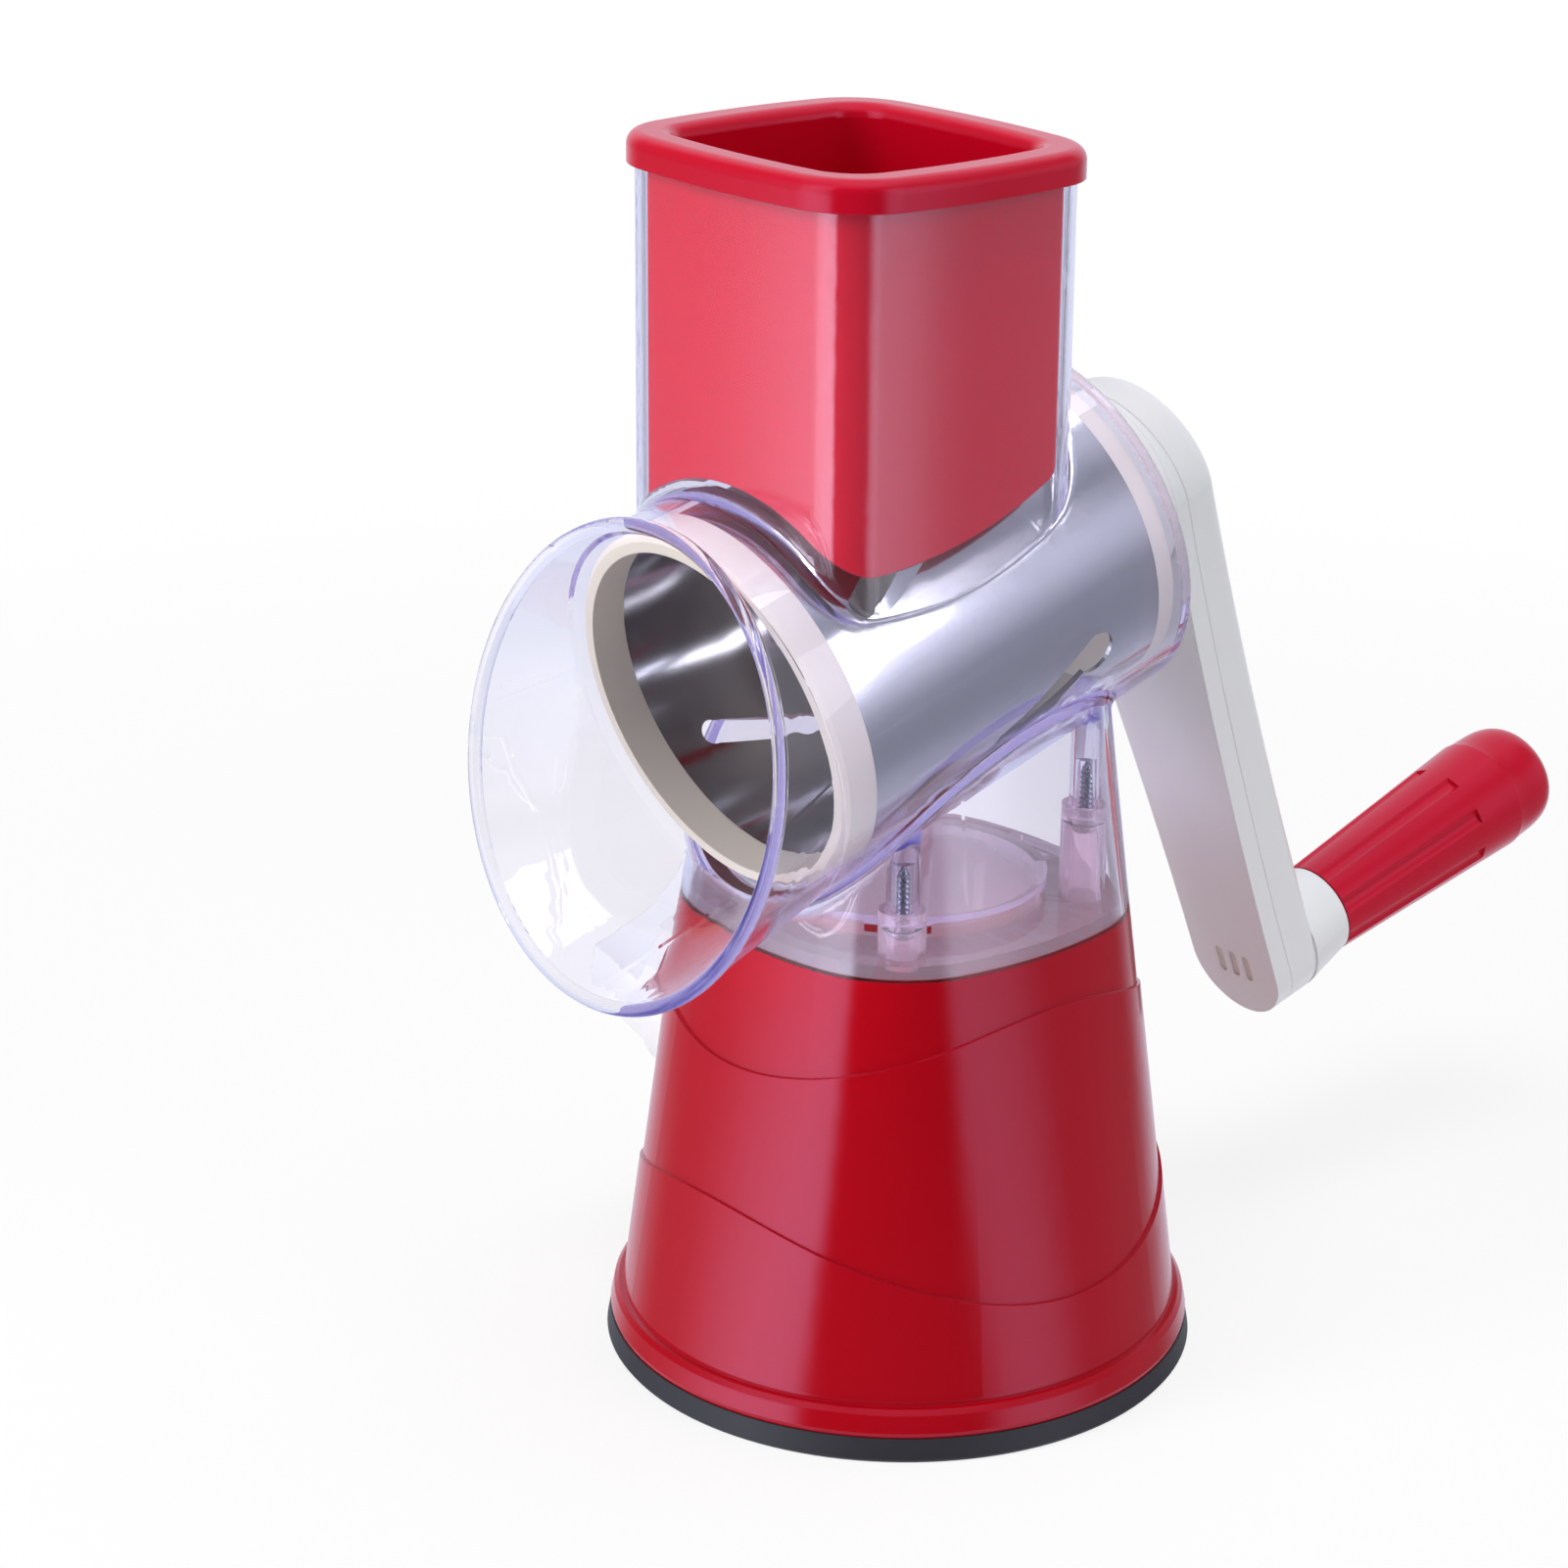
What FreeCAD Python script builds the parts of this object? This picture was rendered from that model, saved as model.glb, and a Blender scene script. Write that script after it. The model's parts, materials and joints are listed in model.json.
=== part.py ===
import FreeCAD, Part
import math
import os
import re
from types import SimpleNamespace
import Sketcher

# A hand-cranked drum slicer for vegetables. A red cone on a suction foot carries a clear body with a
# square hopper, a round tube that rises to the rear and a flared outlet. A steel drum turns in the tube.
# Millimetres. The origin is the centre of the foot, on the table. The outlet faces -Y, the crank +Y
# and the lock knob -X.

V = FreeCAD.Vector
# Farther than any side of the part: the reach of a cutting block
FAR = 300.0
doc = FreeCAD.newDocument("vegetable_shredder")
sheet = doc.addObject("Spreadsheet::Sheet", "Sizes")

SIZES = (
    # Foot and red cone
    ("foot_radius", 65.0, "rubber foot where it meets the table"),
    ("foot_top_radius", 64.2, "rubber foot at its top edge"),
    ("foot_height", 5.3, "rubber foot"),
    ("foot_inner_radius", 55.0, "hole in the rubber foot"),
    ("bead_radius", 64.2, "rounded bead above the foot"),
    ("bead_height", 6.1, "bead, up from the foot"),
    ("cone_start", 12.5, "height at which the cone begins"),
    ("cone_radius", 59.9, "round lower end of the upper zone's wall"),
    ("base_height", 101.6, "top of the red cone"),
    ("base_half", 44.4, "half the rounded square at the top of the cone"),
    ("base_side_radius", 90.0, "bow of that square's sides"),
    ("base_corner_radius", 30.0, "its corners"),
    ("ledge_step", 0.65, "each lower zone stands out by this"),
    ("base_wall", 2.4, "wall of the cone"),
    ("deck_thickness", 3.0, "closed top of the cone"),
    ("upper_wave_height", 83.6, "mean height of the upper ledge"),
    ("upper_wave_swing", 7.3, "rise of the upper ledge at the left and right"),
    ("lower_wave_height", 38.4, "mean height of the lower ledge"),
    ("lower_wave_swing", 9.0, "fall of the lower ledge at the left and right"),
    ("turret_radius", 25.0, "low round boss on the deck"),
    ("turret_height", 3.0, "that boss"),
    # Frame, plunger and suction pad
    ("frame_gap", 0.4, "frame plate to the cone's wall"),
    ("frame_low", 8.0, "underside of the frame plate"),
    ("frame_plate", 4.0, "frame plate"),
    ("tower_wall", 2.8, "guide tower"),
    ("tower_top", 70.0, "top of the guide tower"),
    ("frame_post_reach", 27.0, "frame screws, from the middle along X and along Y"),
    ("frame_post_radius", 4.0, "posts for the frame screws"),
    ("frame_screw_radius", 1.5, "frame screw's shank"),
    ("frame_screw_length", 14.0, "frame screw's shank"),
    ("frame_head_radius", 3.0, "frame screw's head"),
    ("frame_head_height", 1.8, "frame screw's head"),
    ("plunger_radius", 14.0, "plunger"),
    ("plunger_gap", 0.3, "plunger in its tower"),
    ("plunger_foot_radius", 18.0, "flange under the plunger"),
    ("plunger_foot", 2.5, "thickness of that flange"),
    ("plunger_lift", 4.0, "travel when the knob locks"),
    ("pad_low", 0.3, "underside of the suction pad"),
    ("pad_radius", 52.0, "suction pad"),
    ("pad_edge", 1.9, "thickness at the pad's edge"),
    ("pad_boss_radius", 18.5, "thick middle of the pad"),
    ("pad_boss", 4.2, "thickness in the middle"),
    # Lock knob and its shaft, which stand square to the leaning wall
    ("knob_tilt", 10.0, "degrees that the shaft rises towards the knob"),
    ("shaft_height", 51.8, "shaft where it crosses the plunger"),
    ("shaft_radius", 4.0, "shaft"),
    ("shaft_gap", 0.06, "shaft in its bearings"),
    ("shaft_inner_end", 19.5, "shaft past the plunger's axis"),
    ("cam_radius", 7.0, "eccentric"),
    ("cam_throw", 2.83, "eccentric's offset"),
    ("cam_width", 10.0, "eccentric along the shaft"),
    ("cam_window_gap", 1.6, "window above the eccentric"),
    ("knob_seat", 53.3, "knob seat, out along the shaft from the plunger's axis"),
    ("seat_radius", 25.2, "round seat moulded on the wall"),
    ("seat_gap", 0.3, "knob to its seat"),
    ("knob_radius", 25.5, "knob skirt"),
    ("knob_reach", 27.5, "knob, out from its seat"),
    ("knob_face_radius", 23.0, "ends of the three lobes at the face"),
    ("skirt_rim", 3.0, "straight part of the knob's skirt"),
    ("skirt_height", 9.0, "foot of the three scoops"),
    ("scoop_radius", 33.0, "hollow between two lobes"),
    ("scoop_waist", 12.9, "knob's axis to the bottom of a scoop"),
    ("lobe_turn", -98.0, "degrees from the knob's up direction to the first lobe"),
    ("inlay_radius", 10.5, "red inlay"),
    ("inlay_thickness", 1.6, "red inlay"),
    ("inlay_proud", 0.2, "inlay above the face"),
    ("knob_screw_radius", 1.5, "screw under the inlay"),
    ("knob_screw_length", 16.0, "that screw"),
    ("knob_head_radius", 3.2, "its head"),
    ("knob_head_height", 2.2, "its head"),
    # Rear latch
    ("recess_half", 10.5, "half the latch's recess"),
    ("recess_sink", 25.6, "recess, down from the cone's top"),
    ("recess_low", "=base_height - recess_sink", "bottom of the recess"),
    ("recess_floor", 39.0, "back of the recess, from the axis"),
    ("tab_half", 8.5, "half the latch tab"),
    ("tab_sink", 19.6, "tab, down from the cone's top"),
    ("tab_low", "=base_height - tab_sink", "bottom of the tab"),
    ("tab_back", 42.5, "inner face of the tab, from the axis"),
    ("tab_proud", 0.8, "tab beyond the wall"),
    ("tab_top_gap", 0.3, "tab under the clear body"),
    ("latch_travel", 2.5, "latch pressed in"),
    ("nose_half", 6.0, "half the catch's nose"),
    ("nose_inner", 33.0, "inner face of the nose"),
    ("nose_thickness", 3.0, "nose"),
    ("nose_rise", 2.4, "nose above the cone's top"),
    ("nose_top", "=base_height + nose_rise", "top of the nose"),
    ("nose_arm_sink", 6.6, "cone's top to the arm's underside"),
    ("nose_arm_low", "=base_height - nose_arm_sink", "underside of the arm to the nose"),
    ("nose_gap", 0.4, "nose and arm in their slots"),
    ("latch_spring_radius", 2.8, "outside of the latch spring"),
    ("latch_spring_wall", 0.6, "latch spring"),
    ("latch_spring_sink", 14.1, "its axis below the cone's top"),
    ("latch_spring_height", "=base_height - latch_spring_sink", "height of its axis"),
    ("latch_spring_pocket", 3.0, "spring's depth in the tab"),
    # Clear body
    ("axis_tilt", 15.0, "degrees that the drum's axis rises to the rear"),
    ("axis_rise", 67.6, "drum's axis above the cone's top"),
    ("axis_height", "=base_height + axis_rise", "drum's axis above the middle of the foot"),
    ("clear_wall", 2.0, "clear walls"),
    ("skirt_sink", 14.2, "drum's axis to the skirt's upper end"),
    ("skirt_top", "=axis_height - skirt_sink", "clear skirt's upper end, inside the tube"),
    ("skirt_narrowing", 6.7, "clear skirt's inset at that end"),
    ("tube_front", 58.0, "tube ahead of the foot's centre, along the axis"),
    ("tube_rear", 42.0, "tube behind it"),
    ("tube_front_radius", 43.1, "outside of the tube at the front"),
    ("tube_rear_radius", 40.9, "outside of the tube at the rear"),
    ("rear_hole_radius", 31.4, "hole in the rear wall"),
    ("rim_radius", 49.4, "outlet rim"),
    ("rim_lean", 25.9, "degrees that the outlet's plane leans from the axis"),
    ("rim_lead", 0.1, "rim ahead of the tube at the very top"),
    ("lip_radius", 1.5, "rounded lip of the outlet"),
    ("hopper_half", 38.1, "half the hopper along X"),
    ("hopper_aspect", 0.909, "hopper's depth over its width"),
    ("hopper_side_radius", 194.0, "bow of the hopper's sides"),
    ("hopper_corner_radius", 12.0, "hopper's corners"),
    ("hopper_shift", -17.25, "hopper's middle along Y"),
    ("hopper_rise", 93.0, "drum's axis to the hopper's top edge"),
    ("hopper_top", "=axis_height + hopper_rise", "top edge of the hopper"),
    ("hopper_sink", 19.2, "drum's axis to the hopper's lower end"),
    ("hopper_foot", "=axis_height - hopper_sink", "hopper's lower end, inside the tube"),
    ("hopper_wall", 2.2, "hopper wall"),
    ("joint_fillet", 3.5, "rounded inner corner where hopper and skirt meet the tube"),
    # Floor of the clear body, its sleeves and screws
    ("floor_gap", 0.2, "floor plate to the skirt"),
    ("floor_thickness", 2.8, "floor plate"),
    ("crown_radius", 30.0, "raised middle of the floor plate"),
    ("crown_rise", 7.4, "cone's top to the top of that middle"),
    ("crown_top", "=base_height + crown_rise", "top of that middle"),
    ("crown_window", 7.0, "half of each window in the crown's wall"),
    ("post_reach_x", 27.5, "clear posts along X"),
    ("post_reach_y", 25.5, "clear posts along Y"),
    ("sleeve_radius", 5.0, "sleeve that rises from the floor"),
    ("sleeve_rise_front", 12.4, "cone's top to the top of the front sleeves"),
    ("sleeve_top_front", "=base_height + sleeve_rise_front", "front sleeves"),
    ("sleeve_rise_rear", 23.7, "cone's top to the top of the rear sleeves"),
    ("sleeve_top_rear", "=base_height + sleeve_rise_rear", "rear sleeves"),
    ("sleeve_bore", 3.2, "sleeve's bore, open below"),
    ("sleeve_cup", 2.6, "depth of the cup that takes the boss"),
    ("sleeve_web", 1.8, "web under the cup"),
    ("boss_radius", 3.5, "boss that hangs from the clear body"),
    ("boss_gap", 0.2, "boss in its cup"),
    ("housing_screw_radius", 1.5, "screw's shank"),
    ("housing_screw_length", 14.5, "screw's shank"),
    ("housing_head_radius", 2.7, "screw's head"),
    ("housing_head_height", 1.8, "screw's head"),
    ("screw_point", 2.2, "pointed end of a screw"),
    ("thread_gap", 0.05, "screw in its hole"),
    # Food pusher
    ("pusher_half", 35.3, "half the pusher along X"),
    ("pusher_corner_radius", 10.4, "its corners"),
    ("pusher_rim_half", 40.7, "half the pusher's rim"),
    ("pusher_rim_corner", 17.5, "rim's corners"),
    ("pusher_rim", 6.4, "height of the rim"),
    ("pusher_bead", 2.9, "rounding of the rim's upper edges"),
    ("pusher_mouth_half", 30.5, "half the pusher's mouth"),
    ("pusher_mouth_corner", 9.0, "mouth's corners"),
    ("cup_depth", 38.2, "pusher's cup below the hopper's top"),
    ("pusher_floor", "=hopper_top - cup_depth", "floor of the pusher's cup"),
    ("pusher_arch_radius", 45.0, "arch under the pusher, round the drum's axis"),
    ("pusher_heel", 28.0, "rounding of the pusher's lower rear corners"),
    ("pusher_reach", 15.0, "drum's axis to the level below which the pusher is cut off"),
    # Drum
    ("sheet_front_radius", 39.0, "drum at its front ring"),
    ("sheet_rear_radius", 37.05, "drum at its rear cap"),
    ("sheet_front", 48.2, "sheet ahead of the foot's centre, along the axis"),
    ("sheet_rear", 35.3, "sheet behind it"),
    ("sheet_thickness", 0.8, "steel sheet"),
    ("slot_count", 4.0, "slots round the drum"),
    ("slot_front", 36.2, "front end of a slot"),
    ("slot_rear", 16.5, "rear end of a slot"),
    ("slot_width", 5.4, "slot"),
    ("slot_turn", 0.725, "degrees of slant per millimetre"),
    ("slot_phase", -37.7, "degrees to the first slot's front end"),
    ("eye_radius", 4.7, "round eye at a slot's rear end"),
    ("eye_shift", 2.3, "eye's centre beyond the slot's middle, towards the blade"),
    ("blade_width", 4.6, "raised strip beside a slot"),
    ("blade_lift", 1.3, "its edge above the sheet"),
    ("ring_radius", 40.1, "front ring"),
    ("ring_inner_radius", 36.4, "its mouth"),
    ("ring_length", 8.4, "front ring along the axis"),
    ("ring_edge", 1.4, "its bevelled front edge"),
    ("cap_end", 39.7, "rear face of the rear cap's rim"),
    ("hub_radius", 31.0, "rear cap's boss in the rear wall"),
    ("hub_end", 44.3, "rear face of that boss"),
    ("socket_half", 5.1, "half the square socket"),
    ("inner_hub_radius", 11.0, "hub inside the drum"),
    ("inner_hub", 8.0, "its length"),
    # Crank
    ("collar_start", 44.6, "crank's collar along the axis"),
    ("collar_radius", 22.5, "crank's collar"),
    ("arm_inner", 56.5, "arm's inner face at the axis"),
    ("arm_parting", 61.5, "seam between the arm's two shells"),
    ("arm_outer", 72.0, "arm's outer face at the axis"),
    ("arm_slope", 0.12, "lean of the inner face and of the seam"),
    ("arm_outer_slope", 0.13, "lean of the outer face"),
    ("arm_top_radius", 22.0, "arm's round upper end"),
    ("arm_waist_half", 16.5, "half the arm below the button"),
    ("arm_waist", 57.0, "axis to that place"),
    ("arm_length", 135.0, "drum's axis to the grip's axis"),
    ("arm_end_radius", 13.5, "arm's round lower end"),
    ("arm_wall", 2.4, "walls of the two shells"),
    ("arm_edge", 5.0, "rounded outer edge"),
    ("drive_half", 5.0, "half the square drive shaft"),
    ("drive_front", 36.5, "drive shaft's front end along the axis"),
    ("drive_head_radius", 9.0, "its head inside the arm"),
    ("drive_head", 2.5, "thickness of that head"),
    ("vent_half", 1.1, "half of each slot near the arm's end"),
    ("vent_length", 5.0, "straight part of such a slot"),
    ("vent_pitch", 4.2, "slot to slot"),
    ("vent_back", 0.5, "grip's axis to those slots"),
    ("vent_place", "=arm_length - vent_back", "drum's axis to those slots"),
    # Release button and its slide
    ("button_half", 7.9, "half the button"),
    ("button_top", 26.9, "drum's axis to the button's flat end"),
    ("button_gap", 0.25, "button in its opening"),
    ("button_proud", 0.6, "button above the arm"),
    ("button_thickness", 3.0, "button"),
    ("button_travel", 2.5, "button pressed"),
    ("button_stem", 31.0, "drum's axis to the stem under the button"),
    ("stem_depth", 5.0, "stem along the arm"),
    ("stem_half", 2.5, "half the stem across the arm"),
    ("stem_flat", 1.3, "flat part of the stem's foot"),
    ("foot_gap", 0.4, "pressed foot above the slide"),
    ("slide_lift", 0.5, "slide above the seam"),
    ("slide_thickness", 1.8, "slide"),
    ("slide_half", 4.5, "half the slide"),
    ("slide_start", 11.0, "drum's axis to the slide's upper end"),
    ("slide_end", 40.0, "drum's axis to its lower end"),
    ("ramp_gap", 0.3, "stem to ramp, square to them"),
    ("ramp_spare", 0.7, "ramp above the button's travel"),
    ("spring_radius", 2.2, "outside of the button spring"),
    ("spring_wall", 0.6, "button spring"),
    ("spring_length", 8.0, "button spring"),
    ("spring_lift", 0.9, "button spring above the seam"),
    ("spring_stop", 1.6, "rib behind the spring"),
    ("stop_height", 5.5, "that rib above the seam"),
    ("scoop_ball", 16.0, "ball that hollows the arm beyond the button"),
    ("scoop_depth", 1.4, "depth of that hollow"),
    # Grip
    ("grip_start", 101.0, "grip's inner end along its axis"),
    ("grip_end", 176.0, "grip's outer end"),
    ("grip_gap", 0.4, "grip to the arm's collar"),
    ("grip_inner_radius", 11.3, "grip at its inner end"),
    ("grip_full_radius", 14.4, "grip at its widest"),
    ("grip_widest", 161.0, "place of that along its axis"),
    ("grip_nose_radius", 10.3, "grip round its end cap"),
    ("flute_count", 8.0, "flutes round the grip"),
    ("flute_radius", 3.0, "flute"),
    ("flute_depth", 0.9, "flute"),
    ("flute_end", 148.0, "outer end of the flutes"),
    ("end_cap_radius", 8.7, "white end cap"),
    ("end_cap_thickness", 1.6, "white end cap"),
    ("end_cap_gap", 0.1, "cap in its seat"),
    ("axle_radius", 3.0, "grip's axle"),
    ("axle_gap", 0.06, "grip on its axle"),
    ("axle_head_radius", 6.0, "axle's head inside the arm"),
    ("axle_head", 2.5, "thickness of that head"),
    ("axle_end", 166.0, "axle's outer end"),
    ("grip_well_radius", 7.0, "well in the grip for the screw"),
    ("grip_screw_radius", 1.5, "screw in the axle"),
    ("grip_screw_length", 12.0, "that screw"),
    ("washer_radius", 5.2, "its washer head"),
    ("washer_thickness", 2.4, "its washer head"),
    ("washer_gap", 0.3, "washer head to the grip"),
)

for row, (alias, number, meaning) in enumerate(SIZES, start=1):
    sheet.set(f"A{row}", meaning)
    sheet.set(f"B{row}", str(number))
    sheet.setAlias(f"B{row}", alias)
doc.recompute()
d = SimpleNamespace(**{alias: float(getattr(sheet, alias)) for alias, number, meaning in SIZES})
NAMES = {alias for alias, number, meaning in SIZES}


# Frames of the three tilted groups

# The drum's frame: Z runs along the drum's axis to the rear, and Y hangs down across it, as the crank does
DRUM = FreeCAD.Placement(V(0, 0, d.axis_height), FreeCAD.Rotation(V(1, 0, 0), d.axis_tilt - 90))
# The grip's frame: the drum's frame moved down to the end of the arm
GRIP = DRUM.multiply(FreeCAD.Placement(V(0, d.arm_length, 0), FreeCAD.Rotation()))
# The knob's frame: Z runs out along the shaft, and X points up the wall
KNOB = FreeCAD.Placement(V(0, 0, d.shaft_height), FreeCAD.Rotation(V(0, 1, 0), d.knob_tilt - 90))
WORLD = FreeCAD.Placement()


# Parametric pieces

def bound(text):
    """The expression with each size pointed at its cell in the sheet."""
    return re.sub(r"[a-z_]+", lambda m: "Sizes." + m.group() if m.group() in NAMES else m.group(), text)


def new_body(name, placement):
    body = doc.addObject("PartDesign::Body", name)
    body.Placement = placement
    return body


def sketch_outline(body, name, role, corners):
    """A closed outline of straight edges, whose corners are held by pairs of expressions."""
    sketch = body.newObject("Sketcher::SketchObject", name)
    plane = [feature for feature in body.Origin.OriginFeatures if feature.Role == role][0]
    sketch.AttachmentSupport = (plane, "")
    sketch.MapMode = "FlatFace"
    count = len(corners)
    turns = [2 * math.pi * index / count for index in range(count)]
    starts = [V(math.cos(turn), math.sin(turn), 0) for turn in turns]
    edges = [Part.LineSegment(starts[index - 1], starts[index]) for index in range(count)]
    sketch.addGeometry(edges, False)
    for index in range(count):
        previous = index - 1 if index else count - 1
        sketch.addConstraint(Sketcher.Constraint("Coincident", previous, 2, index, 1))
        for kind, text in zip(("DistanceX", "DistanceY"), corners[index]):
            held = sketch.addConstraint(Sketcher.Constraint(kind, -1, 1, index, 1, 1.0))
            sketch.setExpression(f"Constraints[{held}]", bound(text))
    return sketch


def sketch_circle(body, name, role, radius, x="0", y="0"):
    """A circle held by expressions for its radius and its centre."""
    sketch = body.newObject("Sketcher::SketchObject", name)
    plane = [feature for feature in body.Origin.OriginFeatures if feature.Role == role][0]
    sketch.AttachmentSupport = (plane, "")
    sketch.MapMode = "FlatFace"
    sketch.addGeometry(Part.Circle(V(1, 1, 0), V(0, 0, 1), 1), False)
    for kind, text in (("DistanceX", x), ("DistanceY", y)):
        held = sketch.addConstraint(Sketcher.Constraint(kind, -1, 1, 0, 3, 1.0))
        sketch.setExpression(f"Constraints[{held}]", bound(text))
    held = sketch.addConstraint(Sketcher.Constraint("Radius", 0, 1.0))
    sketch.setExpression(f"Constraints[{held}]", bound(radius))
    return sketch


def revolve(body, name, corners):
    """A turned solid: its outline stands in the XZ plane, radius across and height up."""
    turned = body.newObject("PartDesign::Revolution", name)
    turned.Profile = sketch_outline(body, name + "_outline", "XZ_Plane", corners)
    turned.ReferenceAxis = (turned.Profile[0], ["V_Axis"])
    turned.Angle = 360
    return turned


def groove(body, name, corners):
    """A turned cut, drawn the same way."""
    turned = body.newObject("PartDesign::Groove", name)
    turned.Profile = sketch_outline(body, name + "_outline", "XZ_Plane", corners)
    turned.ReferenceAxis = (turned.Profile[0], ["V_Axis"])
    turned.Angle = 360
    return turned


def pad(body, name, corners, low, high, role="XY_Plane"):
    """A block on a straight-edged outline, from one height to another."""
    block = body.newObject("PartDesign::Pad", name)
    sketch = sketch_outline(body, name + "_outline", role, corners)
    sketch.setExpression("AttachmentOffset.Base.z", bound(low))
    block.Profile = sketch
    block.setExpression("Length", bound(f"{high} - ({low})"))
    return block


def rectangle(half_x, half_y):
    """Corners of a rectangle round the origin."""
    return (
        (f"-({half_x})", f"-({half_y})"),
        (half_x, f"-({half_y})"),
        (half_x, half_y),
        (f"-({half_x})", half_y),
    )


def part_feature(name, shape, placement):
    """A piece whose shape is worked out below from the sheet's sizes."""
    feature = doc.addObject("Part::Feature", name)
    feature.Shape = shape
    feature.Placement = placement.multiply(shape.Placement)
    return feature


# Shapes shared by several pieces

def box(x_low, x_high, y_low, y_high, z_low, z_high):
    return Part.makeBox(x_high - x_low, y_high - y_low, z_high - z_low, V(x_low, y_low, z_low))


def rod(radius, low, high, x=0.0, y=0.0):
    """A cylinder along Z."""
    return Part.makeCylinder(radius, high - low, V(x, y, low))


def turned(corners):
    """A solid turned round Z from corners of radius and height."""
    points = [V(radius, 0, height) for radius, height in corners]
    face = Part.Face(Part.makePolygon(points + points[:1]))
    return face.revolve(V(0, 0, 0), V(0, 0, 1), 360)


def prism_along_x(corners, half_width):
    """A solid from corners in the YZ plane, as wide to the left as to the right."""
    points = [V(-half_width, y, z) for y, z in corners]
    face = Part.Face(Part.makePolygon(points + points[:1]))
    return face.extrude(V(2 * half_width, 0, 0))


def square_joints(half, side_radius, corner_radius):
    """Where the bowed sides of a rounded square meet its corners, and the corners' centre."""
    bow = side_radius - half
    reach = side_radius - corner_radius
    centre = (math.sqrt(2 * reach * reach - bow * bow) - bow) / 2
    swing = math.atan2(centre, centre + bow)
    return bow, centre, swing


def rounded_square(half, side_radius, corner_radius, height, inset=0.0):
    """Outline of four bowed sides and four round corners, drawn inset from its full size."""
    bow, centre, swing = square_joints(half, side_radius, corner_radius)
    side = side_radius - inset
    corner = corner_radius - inset
    edges = []
    for quarter in range(4):
        turn = FreeCAD.Rotation(V(0, 0, 1), 90 * quarter)
        side_angles = (-swing, 0, swing)
        corner_angles = (swing, math.pi / 4, math.pi / 2 - swing)
        side_points = [V(side * math.cos(a) - bow, side * math.sin(a), height) for a in side_angles]
        corner_points = [
            V(centre + corner * math.cos(a), centre + corner * math.sin(a), height) for a in corner_angles
        ]
        for points in (side_points, corner_points):
            edges.append(Part.Arc(*[turn.multVec(point) for point in points]).toShape())
    return Part.Wire(edges)


def circle_like_square(radius, height, half, side_radius, corner_radius):
    """A circle split at the places where a rounded square's arcs meet, so that the two loft cleanly."""
    bow, centre, swing = square_joints(half, side_radius, corner_radius)
    joint = math.atan2(side_radius * math.sin(swing), side_radius * math.cos(swing) - bow)
    stops = []
    for quarter in range(4):
        stops.append(quarter * math.pi / 2 - joint)
        stops.append(quarter * math.pi / 2 + joint)
    stops.append(stops[0] + 2 * math.pi)
    edges = []
    for start, end in zip(stops, stops[1:]):
        angles = (start, (start + end) / 2, end)
        points = [V(radius * math.cos(a), radius * math.sin(a), height) for a in angles]
        edges.append(Part.Arc(*points).toShape())
    return Part.Wire(edges)


def ruled_loft(lower, upper):
    return Part.makeLoft([lower, upper], True, True)


def squeezed(wire, aspect, shift):
    """An outline narrowed along Y and moved along Y."""
    matrix = FreeCAD.Matrix()
    matrix.scale(V(1, aspect, 1))
    narrowed = wire.transformGeometry(matrix)
    narrowed.translate(V(0, shift, 0))
    return narrowed


def screw(head_radius, head_height, shank_radius, shank_length, point):
    """A round-headed screw that points up, with the joint of head and shank at the origin."""
    head = rod(head_radius, -head_height, 0)
    shank = rod(shank_radius, 0, shank_length - point)
    tip = Part.makeCone(shank_radius, shank_radius / 4, point, V(0, 0, shank_length - point))
    return joined(head, shank, tip).removeSplitter()


def joined(shape, *others):
    """Shapes fused one after another. None of them may take material away."""
    for other in others:
        larger = shape.fuse(other)
        if larger.Volume < max(shape.Volume, other.Volume) * 0.999:
            raise ValueError("a fuse has lost material")
        shape = larger
    return shape


def four_corners(reach_x, reach_y):
    return [(x * reach_x, y * reach_y) for x in (-1, 1) for y in (-1, 1)]


# Red cone

def cone_zone(step):
    """The whole cone, stepped out by one zone's amount."""
    square = (d.base_half, d.base_side_radius, d.base_corner_radius)
    foot = circle_like_square(d.cone_radius + step, d.cone_start, *square)
    top = rounded_square(*square, d.base_height, inset=-step)
    return ruled_loft(foot, top)


def under_wave(height, swing):
    """A thick ring whose top is a wave of two crests, highest at the left and right where swing is
    positive."""
    inner, outer, low, count = d.base_half / 2, d.foot_radius + 10, 1.0, 32
    loops = {}
    for radius in (inner, outer):
        angles = [2 * math.pi * index / count for index in range(count)]
        crest = []
        for a in angles:
            crest.append(V(radius * math.cos(a), radius * math.sin(a), height + swing * math.cos(2 * a)))
        flat = [V(point.x, point.y, low) for point in crest]
        for level, points in (("crest", crest), ("flat", flat)):
            curve = Part.BSplineCurve()
            curve.interpolate(points, PeriodicFlag=True)
            loops[radius, level] = curve.toShape()
    faces = [
        Part.makeRuledSurface(loops[inner, "crest"], loops[outer, "crest"]),
        Part.makeRuledSurface(loops[inner, "flat"], loops[outer, "flat"]),
        Part.makeRuledSurface(loops[inner, "crest"], loops[inner, "flat"]),
        Part.makeRuledSurface(loops[outer, "crest"], loops[outer, "flat"]),
    ]
    shell = Part.Shell(faces)
    shell.sewShape()
    ring = Part.Solid(shell)
    if ring.Volume < 0:
        ring.reverse()
    return ring


def recess_prism(half, low, y_low, y_high, z_high):
    """A slot with a round lower end, cut through along Y."""
    round_end = Part.makeCylinder(half, y_high - y_low, V(0, y_low, low + half), V(0, 1, 0))
    return box(-half, half, y_low, y_high, low + half, z_high).fuse(round_end)


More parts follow.
